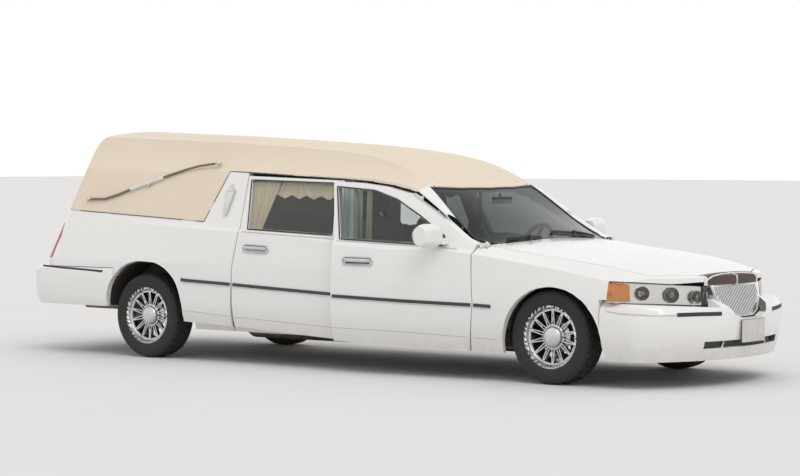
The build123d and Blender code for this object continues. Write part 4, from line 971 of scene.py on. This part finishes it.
VINYL_LINE = [
    (0.819, 1.331), (0.594, 1.378), (0.384, 1.403), (0.126, 1.420), (-0.829, 1.466),
    (-1.031, 1.472), (-1.183, 1.084), (-2.681, 1.156), (-3.08, 1.163),
]
bead = side_path(["roof", "quarter_panels", "side_frames"], VINYL_LINE)
trim("vinyl_bead", "body", ("vinyl_tan", bead_metal), 40, bead, 0.0042)
SEAM = [
    (0.85, 0.517), (0.778, 0.484), (0.616, 0.424), (0.329, 0.358), (-0.2, 0.335), (-1.2, 0.33),
    (-2.55, 0.33),
]
seam = top_path(["roof"], SEAM, -0.0012)
trim("roof_seam", "body", ("vinyl_tan", vinyl), 40, seam, 0.0032)

# Windshield: black edge, wipers and the inside mirror

ROUND_GLASS = ["windshield", "side_frames", "roof", "fenders", "hood", "door_front_left"]


def glass_reach(x):
    """How far out in Y the windshield still shows from above."""
    for number in range(140):
        y = 0.86 - number * 0.004
        glass_point = top_hit(["windshield"], x, y)
        if glass_point is None:
            continue
        if (top_hit(ROUND_GLASS, x, y) - glass_point).length < 0.0005:
            return y
    return None


RUBBER_INSET = 0.011
glass_edge = [(0.905, 0.0), (0.887, 0.33), (0.842, 0.628)]
for number in range(13):
    x = 0.875 + number * 0.04
    y = glass_reach(x)
    if y is not None:
        glass_edge.append((x, y - RUBBER_INSET))
glass_edge += [(1.47, 0.70), (1.565, 0.62), (1.590, 0.40), (1.592, 0.0)]
surround = top_path(["windshield"], glass_edge, -0.001)
trim("windshield_edge", "body", RUBBER, 40, surround, 0.008)


def wiper(label, pivot, elbow, heel, tip):
    """Blade and spine from heel to tip, and an arm from the pivot to its elbow."""
    below = ["windshield", "hood"]
    blade = path_piece(top_path(below, [heel, tip], 0.009), 0.0035, 0.015)
    spine = path_piece(top_path(below, [heel, tip], 0.020), 0.0035)
    arm = path_piece(top_path(below, [pivot, elbow], 0.028), 0.0055)
    foot = arm.data.vertices[0].co
    base = path_piece([foot + Vector((0, 0, shift)) for shift in (-0.03, 0.004)], 0.012)
    finish_piece(join([blade, spine, arm, base]), f"wiper_{label}", "body", *DARK)


wiper("driver", (1.545, 0.47), (1.492, 0.20), (1.515, 0.50), (1.478, -0.06))
wiper("passenger", (1.590, -0.10), (1.520, -0.40), (1.560, -0.12), (1.470, -0.62))
inside_mirror = rounded_box((0.022, 0.24, 0.055), (1.02, 0.0, 1.262), 0.009, 4)
mirror_stalk = path_piece([(1.02, 0, 1.27), (1.0, 0, 1.295), (1.0, 0, 1.315)], 0.007)
finish_piece(join([inside_mirror, mirror_stalk]), "inside_mirror", "body", *DARK)

# Outside mirror glasses, set in the rear of the housings

MIRROR_Y = 1.085
housing = hit(["door_front_left"], (0.3, MIRROR_Y, 1.03), (1, 0, 0))
place = (housing.x + 0.001, MIRROR_Y, 1.028)
disc = added(bpy.ops.mesh.primitive_cylinder_add, vertices=40, radius=0.5, depth=1, location=place)
disc.rotation_euler = (0, math.pi / 2, 0)
disc.scale = (0.100, 0.150, 0.006)
settle(disc)
bevel_edges(disc, 0.0015, 2)
both(disc, "mirror_glass", "front_door_{}", "bright_metal", mirror_glass)

# Headlamps: amber marker, bright box and three bowls inside the clear lens

BETWEEN_LAMPS = 0.05
LAMP_Z = 0.654  # the height that stays in place as a core is squeezed


def lamp_core(shift, squeeze, low, high):
    """Left lamp moved back inside itself, and cut to the part from low to high in Y."""
    core = copy_node("headlamps")
    core.location = (shift, 0, LAMP_Z * (1 - squeeze))
    core.scale = (1, 1, squeeze)
    settle(core)
    edit(core)
    for y, side in ((BETWEEN_LAMPS, "inner"), (low, "inner"), (high, "outer")):
        bpy.ops.mesh.select_all(action="SELECT")
        bpy.ops.mesh.bisect(
            plane_co=(0, y, 0), plane_no=(0, 1, 0), clear_inner=side == "inner",
            clear_outer=side == "outer", use_fill=y != BETWEEN_LAMPS,
        )
    leave()
    turn_outward(core)
    return core


box_back = lamp_core(-0.062, 0.90, 0.350, 0.846)
both(box_back, "lamp_bright_box", "body", "lamp_clear", reflector, 30)
amber = lamp_core(-0.008, 0.80, 0.852, 0.936)
both(amber, "lamp_amber_marker", "body", "lamp_clear", amber_lens, 30)


def bowl(label, y, z, normal, radius):
    """Reflector bowl with a shield in its middle, behind the lens at Y and Z."""
    dish = [
        (0.0006, -0.034), (radius * 0.5, -0.030), (radius * 0.8, -0.016), (radius * 0.95, 0.0),
        (radius, 0.002), (radius * 1.02, -0.004), (radius * 0.9, -0.024), (radius * 0.5, -0.040),
        (0.0006, -0.043),
    ]
    shield = [
        (0.0006, 0.006), (radius * 0.24, 0.003), (radius * 0.32, -0.008), (radius * 0.3, -0.03),
        (0.0006, -0.032),
    ]
    normal = Vector(normal).normalized()
    turn = Vector((0, 1, 0)).rotation_difference(normal).to_matrix().to_4x4()
    place = front_hit(["headlamps"], y, z) - normal * 0.016
    made = (turned_piece(dish, 40), turned_piece(shield, 24))
    for piece, kind, look in zip(made, ("bowl", "shield"), (chrome, dull_chrome)):
        piece.matrix_world = Matrix.Translation(place) @ turn
        both(piece, f"lamp_{kind}_{label}", "body", "lamp_clear", look)


bowl("outer", 0.790, 0.655, (0.66, 0.75, 0), 0.048)
bowl("middle", 0.610, 0.640, (0.81, 0.587, 0), 0.053)
bowl("inner", 0.425, 0.622, (0.907, 0.42, 0), 0.046)

# Front bumper: bright line, black inserts and the plate's frame

BUMPER = ["bumper_front"]
BUMPER_CORE = (2.2, 0.0)
LINE = [(2.565, 0.946, 0.534), (2.66, 0.944, 0.522), (2.872, 0.869, 0.514), (2.993, 0.711, 0.511)]
line = lay(BUMPER, LINE, BUMPER_CORE, -0.001)
trim("bumper_line", "body", BRIGHT, 30, line, 0.003, 0.011)
INSERT = [(2.993, 0.715, 0.514), (3.067, 0.541, 0.514), (3.124, 0.350, 0.510)]
insert = lay(BUMPER, INSERT, BUMPER_CORE, -0.002)
trim("bumper_insert", "body", RUBBER, 30, insert, 0.006, 0.028)
low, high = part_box("plates")
plate_x = high.x - 0.0035
frame_line = [
    (plate_x, y, z)
    for y, z in ((low.y, low.z), (high.y, low.z), (high.y, high.z), (low.y, high.z))
]
finish_piece(path_piece(frame_line, 0.0035, closed=True), "plate_frame", "body", *DARK)
screws = []
for y in (-0.09, 0.09):
    screw = turned_piece([(0.0006, 0.003), (0.005, 0.0022), (0.0062, 0.0), (0.0062, -0.004)], 16)
    screw.rotation_euler = (0, 0, -math.pi / 2)
    screw.location = (plate_x, (low.y + high.y) / 2 + y, high.z - 0.018)
    settle(screw)
    screws.append(screw)
finish_piece(join(screws), "plate_screws", "body", *BRIGHT)

INTAKE_Z = 0.262
INTAKE = [(3.03, -0.47), (3.12, -0.24), (3.135, 0.0), (3.12, 0.24), (3.03, 0.47)]
skin_points = lay(BUMPER, [(x, y, INTAKE_Z) for x, y in INTAKE], BUMPER_CORE)
# A dark sheet behind the slot: painted shade deep in the slot
back_points = [Vector((point.x - 0.034, point.y, 0.297)) for point in skin_points]
finish_piece(path_piece(back_points, 0.003, 0.047), "intake_shade_sheet", "body", *DARK, 30)
for hand, side in SIDES:
    skin = [(3.10, side * y, INTAKE_Z) for y in (0.285, 0.275)]
    x = lay(BUMPER, skin, BUMPER_CORE)[0].x - 0.020
    strut = path_piece([(x, side * 0.300, 0.270), (x, side * 0.262, 0.324)], 0.006)
    finish_piece(strut, f"intake_strut_{hand}", "body", *PAINTED)
lip = path_piece([point + Vector((0.026, 0, -0.027)) for point in back_points], 0.003)
finish_piece(lip, "intake_lip", "body", *PAINTED)

# Grille: bright rim round the shield

SHIELD = [
    (0.325, 0.700), (0.302, 0.642), (0.280, 0.592), (0.200, 0.508), (0.118, 0.480), (0.0, 0.478),
]
trim("grille_rim", "body", BRIGHT, 60, front_path(["grille"], SHIELD), 0.0065, smooth=True)
HEADER_TOP = [(0.352, 0.712), (0.335, 0.742), (0.28, 0.760), (0.15, 0.770), (0.0, 0.773)]
header = front_path(["grille"], HEADER_TOP, -0.001)
trim("header_rim", "body", ("bright_metal", paint), 60, header, 0.006, smooth=True)
MIDDLE = [(0, 0.768), (0, 0.690), (0, 0.60), (0, 0.50)]
middle_strip = path_piece(front_path(["grille"], MIDDLE, 0.001), 0.0065)
finish_piece(middle_strip, "grille_middle_strip", "body", *BRIGHT, 60)

# Rear bumper: dark strip on its top edge

STRIP = [(-2.193, 0.672), (-2.656, 0.688), (-2.93, 0.701)]
rear_strip = side_path(["bumper_rear"], STRIP, -0.001)
trim("rear_bumper_strip", "body", RUBBER, 30, rear_strip, 0.004, 0.018)

# Arch lips


def arch_lip(label, x, names):
    """Lip where the skin starts, going outwards from the hub at each angle."""
    points = []
    for number in range(41):
        angle = math.radians(-14 + 208 * number / 40)
        for reach in range(300, 520, 4):
            px = x + reach / 1000 * math.cos(angle)
            pz = HUB_Z + reach / 1000 * math.sin(angle)
            found = side_hit(names, px, pz) if pz > 0.2 else None
            if found is not None and found.y > 0.92:
                points.append(Vector((px, found.y - 0.003, pz)))
                break
    trim(f"arch_lip_{label}", "body", PAINTED, 60, points, 0.006, smooth=True)


arch_lip("front", X_FRONT, ["fenders", "bumper_front"])
arch_lip("rear", X_REAR, ["quarter_panels", "bumper_rear"])

# Landau bars: white sleeve and button

BAR = [
    (-2.485, 1.245), (-2.301, 1.247), (-2.158, 1.284), (-2.035, 1.327), (-1.669, 1.434),
    (-1.497, 1.483), (-1.362, 1.514), (-1.168, 1.537),
]
bar_points = side_path(["landau_trim"], cut_line(BAR, -2.034, -1.705), -0.009, step=0.06)
trim("bar_sleeve", "body", SLEEVE, 60, bar_points, 0.0155, smooth=True)
BUTTON_X = -1.852
spot = side_hit(["landau_trim"], BUTTON_X, height_at(BAR, BUTTON_X))
BUTTON = [
    (0.0006, 0.018), (0.010, 0.016), (0.0165, 0.009), (0.018, 0.0), (0.015, -0.010),
    (0.0006, -0.012),
]
button = turned_piece(BUTTON, 28, (spot.x, spot.y - 0.004, spot.z - 0.016))
both(button, "bar_button", "body", *BRIGHT, 60)

# Load door: window rubber and pull handle

REAR_LIGHT = [(-0.410, 1.190), (0.410, 1.190), (0.390, 1.520), (-0.390, 1.520)]
light_line = back_path(["rear_door"], grow(REAR_LIGHT, 0.008), -0.001)
back_rubber = path_piece(light_line, 0.007, closed=True)
finish_piece(back_rubber, "load_door_rubber", "load_door", *RUBBER)
PULL = ((-0.46, 0.004), (-0.44, -0.022), (-0.36, -0.022), (-0.34, 0.004))
pull_points = [back_hit(["rear_door"], y, 1.02) + Vector((shift, 0, 0)) for y, shift in PULL]
back_pull = path_piece(pull_points, 0.008, smooth=True)
finish_piece(back_pull, "load_door_pull", "load_door", *BRIGHT, 60)

# Lamp emblems on the pillar: white panels set in the bright outline

EMBLEM = (-0.969, 1.255)
EMBLEM_PANELS = (
    ("body", [(-0.018, -0.070), (0.014, -0.070), (0.032, 0.058), (-0.022, 0.058)]),
    ("cap", [(-0.016, 0.071), (0.022, 0.071), (0.012, 0.086), (-0.008, 0.086)]),
)


def emblem_panel(outline):
    """White panel between the bright ribs, raised a little from the plate."""
    points = [
        side_hit(["landau_trim"], EMBLEM[0] + a, EMBLEM[1] + b) + Vector((0, 0.0012, 0))
        for a, b in outline
    ]
    panel = added(bpy.ops.mesh.primitive_plane_add, size=1)
    for vertex, point in zip(panel.data.vertices, (points[0], points[1], points[3], points[2])):
        vertex.co = point
    wall = panel.modifiers.new("wall", "SOLIDIFY")
    wall.thickness = 0.003
    wall.offset = 0
    bevel_edges(panel, 0.0012, 3)
    turn_outward(panel)
    return panel


for label, outline in EMBLEM_PANELS:
    both(emblem_panel(outline), f"emblem_{label}", "body", *SLEEVE, 30)
ribs = []
for shift in (-0.006, 0.010):
    rib_line = [
        (EMBLEM[0] + shift * 0.6 - 0.002, EMBLEM[1] - 0.066),
        (EMBLEM[0] + shift + 0.004, EMBLEM[1] + 0.054),
    ]
    ribs.append(path_piece(side_path(["landau_trim"], rib_line, 0.0026), 0.0013))
both(join(ribs), "emblem_ribs", "body", *BRIGHT, 60)

# Curtains: hung sheets with folds


def hung_cloth(name, body, outline, folds, tops, side, ripple, wave=0.0, columns=120, rows=18):
    """Gathered cloth between four corners in X and Z, from one Y at its top to one at its foot."""
    (x0, z0), (x1, z1), (x2, z2), (x3, z3) = outline
    grid = bpy.ops.mesh.primitive_grid_add
    obj = added(grid, x_subdivisions=columns, y_subdivisions=rows, size=1)
    y_top, y_low = tops
    for vertex in obj.data.vertices:
        across = vertex.co.x + 0.5
        down = 0.5 - vertex.co.y
        x = (x0 + (x1 - x0) * across) * (1 - down) + (x3 + (x2 - x3) * across) * down
        z = (z0 + (z1 - z0) * across) * (1 - down) + (z3 + (z2 - z3) * across) * down
        phase = across * folds * 2 * math.pi
        fold = math.sin(phase + 0.6 * math.sin(phase * 0.37)) * (0.6 + 0.4 * down)
        z -= wave * down * math.sin(phase * 0.25 + 0.8)
        vertex.co = (x, side * (y_top + (y_low - y_top) * down + ripple * fold), z)
    if side > 0:
        edit(obj)
        bpy.ops.mesh.flip_normals()
        leave()
    return finish_piece(obj, name, body, "curtain_cloth", curtain_cloth, 80)


DRAPE = [(-0.782, 1.398), (-0.515, 1.394), (-0.615, 1.022), (-0.706, 1.026)]
VALANCE = [(-0.775, 1.398), (0.098, 1.378), (0.094, 1.272), (-0.772, 1.288)]
TIE_Y = 0.700
for hand, side in SIDES:
    body = f"rear_door_{hand}"
    node = f"curtain_{hand}"
    drape = hung_cloth(f"drape_{hand}", body, DRAPE, 7, (0.742, 0.866), side, 0.008)
    valance = hung_cloth(
        f"valance_{hand}", body, VALANCE, 24, (0.724, 0.764), side, 0.006, 0.012, 260, 8
    )
    for cloth, width, length in ((drape, 0.42, 0.40), (valance, 1.20, 0.118)):
        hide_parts(node)
    rail = path_piece([(-0.776, side * 0.733, 1.4005), (0.105, side * 0.733, 1.3795)], 0.004)
    finish_piece(rail, f"curtain_rail_{hand}", body, *BRIGHT)
    for number, (near, far) in enumerate(((0.205, 0.245), (0.290, 0.335)), 1):
        name = f"cabin_curtain_{hand}_{number}"
        outline = [(near, 1.335), (far, 1.333), (far - 0.012, 0.965), (near - 0.012, 0.966)]
        tie = hung_cloth(name, "body", outline, 2, (TIE_Y, TIE_Y), side, 0.012, columns=24)
    rail = path_piece([(0.19, side * TIE_Y, 1.337), (0.35, side * TIE_Y, 1.335)], 0.005)
    post = path_piece([(0.27, side * TIE_Y, 1.336), (0.27, side * 0.690, 1.40)], 0.005)
    finish_piece(join([rail, post]), f"cabin_rail_{hand}", "body", *BRIGHT)

# Front seats: padded cushion, back and headrest, the cushion and back with sewn channels

CHANNEL_DEPTH = 0.011
CHANNEL_WIDTH = 0.035
CHANNELS = (-0.52, -0.17, 0.17, 0.52)


def pad(size, place, lean, crown, channels=(), power=5.0, bolster=0.0):
    """Crowned cushion whose sides pull in, with channels sewn along its face."""
    obj = added(bpy.ops.mesh.primitive_cube_add, size=2)
    edit(obj)
    bpy.ops.mesh.subdivide(number_cuts=22)
    leave()
    for vertex in obj.data.vertices:
        u, v, w = vertex.co
        reach = (abs(u) ** power + abs(v) ** power + abs(w) ** power) ** (1 / power)
        u, v, w = u / reach, v / reach, w / reach
        swell = max(0, (1 - u * u)) * max(0, (1 - v * v))
        height = w * size[2] / 2
        if w > 0:
            rise = max(0.0, min(1.0, (abs(v) - 0.55) / 0.3))
            height += crown * swell
            height += bolster * rise * (3 - 2 * rise) * rise * max(0, 1 - abs(v) ** 6)
            for channel in channels:
                sewn = math.exp(-(((v - channel) / CHANNEL_WIDTH) ** 2))
                height -= CHANNEL_DEPTH * sewn * max(0, 1 - u ** 8)
        pinch = 1 - 0.05 * (1 - abs(w)) * max(0, 1 - swell)
        vertex.co = (u * size[0] / 2 * pinch, v * size[1] / 2 * pinch, height)
    round_off = obj.modifiers.new("round", "SUBSURF")
    round_off.levels = 1
    round_off.render_levels = 1
    apply_modifiers(obj)
    obj.rotation_euler = (0, math.radians(lean), 0)
    obj.location = place
    return obj


for hand, side in SIDES:
    y = side * 0.375
    pads = {
        "cushion": pad(
            (0.515, 0.515, 0.158), (0.519, y, 0.512), -2, 0.012, CHANNELS, bolster=0.018
        ),
        "back": pad(
            (0.640, 0.510, 0.118), (0.196, y, 0.826), -101.6, 0.012, CHANNELS, bolster=0.020
        ),
        "headrest": pad((0.145, 0.245, 0.085), (0.109, y, 1.234), -100, 0.010, power=3.4),
    }
    for label, obj in pads.items():
        finish_piece(obj, f"seat_{label}_{hand}", "body", "seat_fabric", seat_cloth, 60)
        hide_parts("front_seats")
    base = rounded_box((0.46, 0.47, 0.088), (0.515, y, 0.388), 0.014, 3)
    rods = [
        path_piece([(0.118, y + shift, 1.13), (0.112, y + shift, 1.20)], 0.006)
        for shift in (-0.06, 0.06)
    ]
    finish_piece(join(rods), f"headrest_rods_{hand}", "body", *BRIGHT)
    finish_piece(base, f"seat_base_{hand}", "body", "cabin_plastic", cabin_plastic)
    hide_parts("front_seats")

# Floor, light and camera

floor_paint, net, skin = new_material("pale floor", Roughness=0.85)
mottle = noise(net, object_place(net), 0.8, 5, 0.6)
put(net, mix_colour(net, mottle, (0.70, 0.69, 0.68), (0.74, 0.73, 0.72)), skin["Base Color"])
floor = added(bpy.ops.mesh.primitive_plane_add, size=240, location=(0, 0, 0))
floor.name = "floor"
floor.data.materials.append(floor_paint)

# White where the camera, glass or a reflection sees it, and less strong as a light
world = bpy.data.worlds.new("studio")
bpy.context.scene.world = world
world.use_nodes = True
net = world.node_tree
rays = net.nodes.new("ShaderNodeLightPath").outputs
seen = calc(net, "ADD", rays["Is Camera Ray"], rays["Is Glossy Ray"], clamp=True)
seen = calc(net, "ADD", seen, rays["Is Transmission Ray"], clamp=True)
sky = net.nodes["Background"].inputs
put(net, calc(net, "MULTIPLY_ADD", seen, 0.14, 0.86), sky["Strength"])
sky["Color"].default_value = (1, 1, 1, 1)

sun_turn = (math.radians(38), math.radians(10), math.radians(48))
sun = added(bpy.ops.object.light_add, type="SUN", rotation=sun_turn).data
sun.energy = 0.8
sun.angle = 0.6
camera_turn = (math.radians(90 - 1.916), 0, math.radians(37.907))
camera_place = (11.921, -15.245, 1.605)
camera = added(bpy.ops.object.camera_add, location=camera_place, rotation=camera_turn)
camera.data.lens = 112.5
camera.data.sensor_width = 36
camera.data.clip_end = 500
bpy.context.scene.camera = camera
bpy.context.scene.view_settings.view_transform = "Standard"
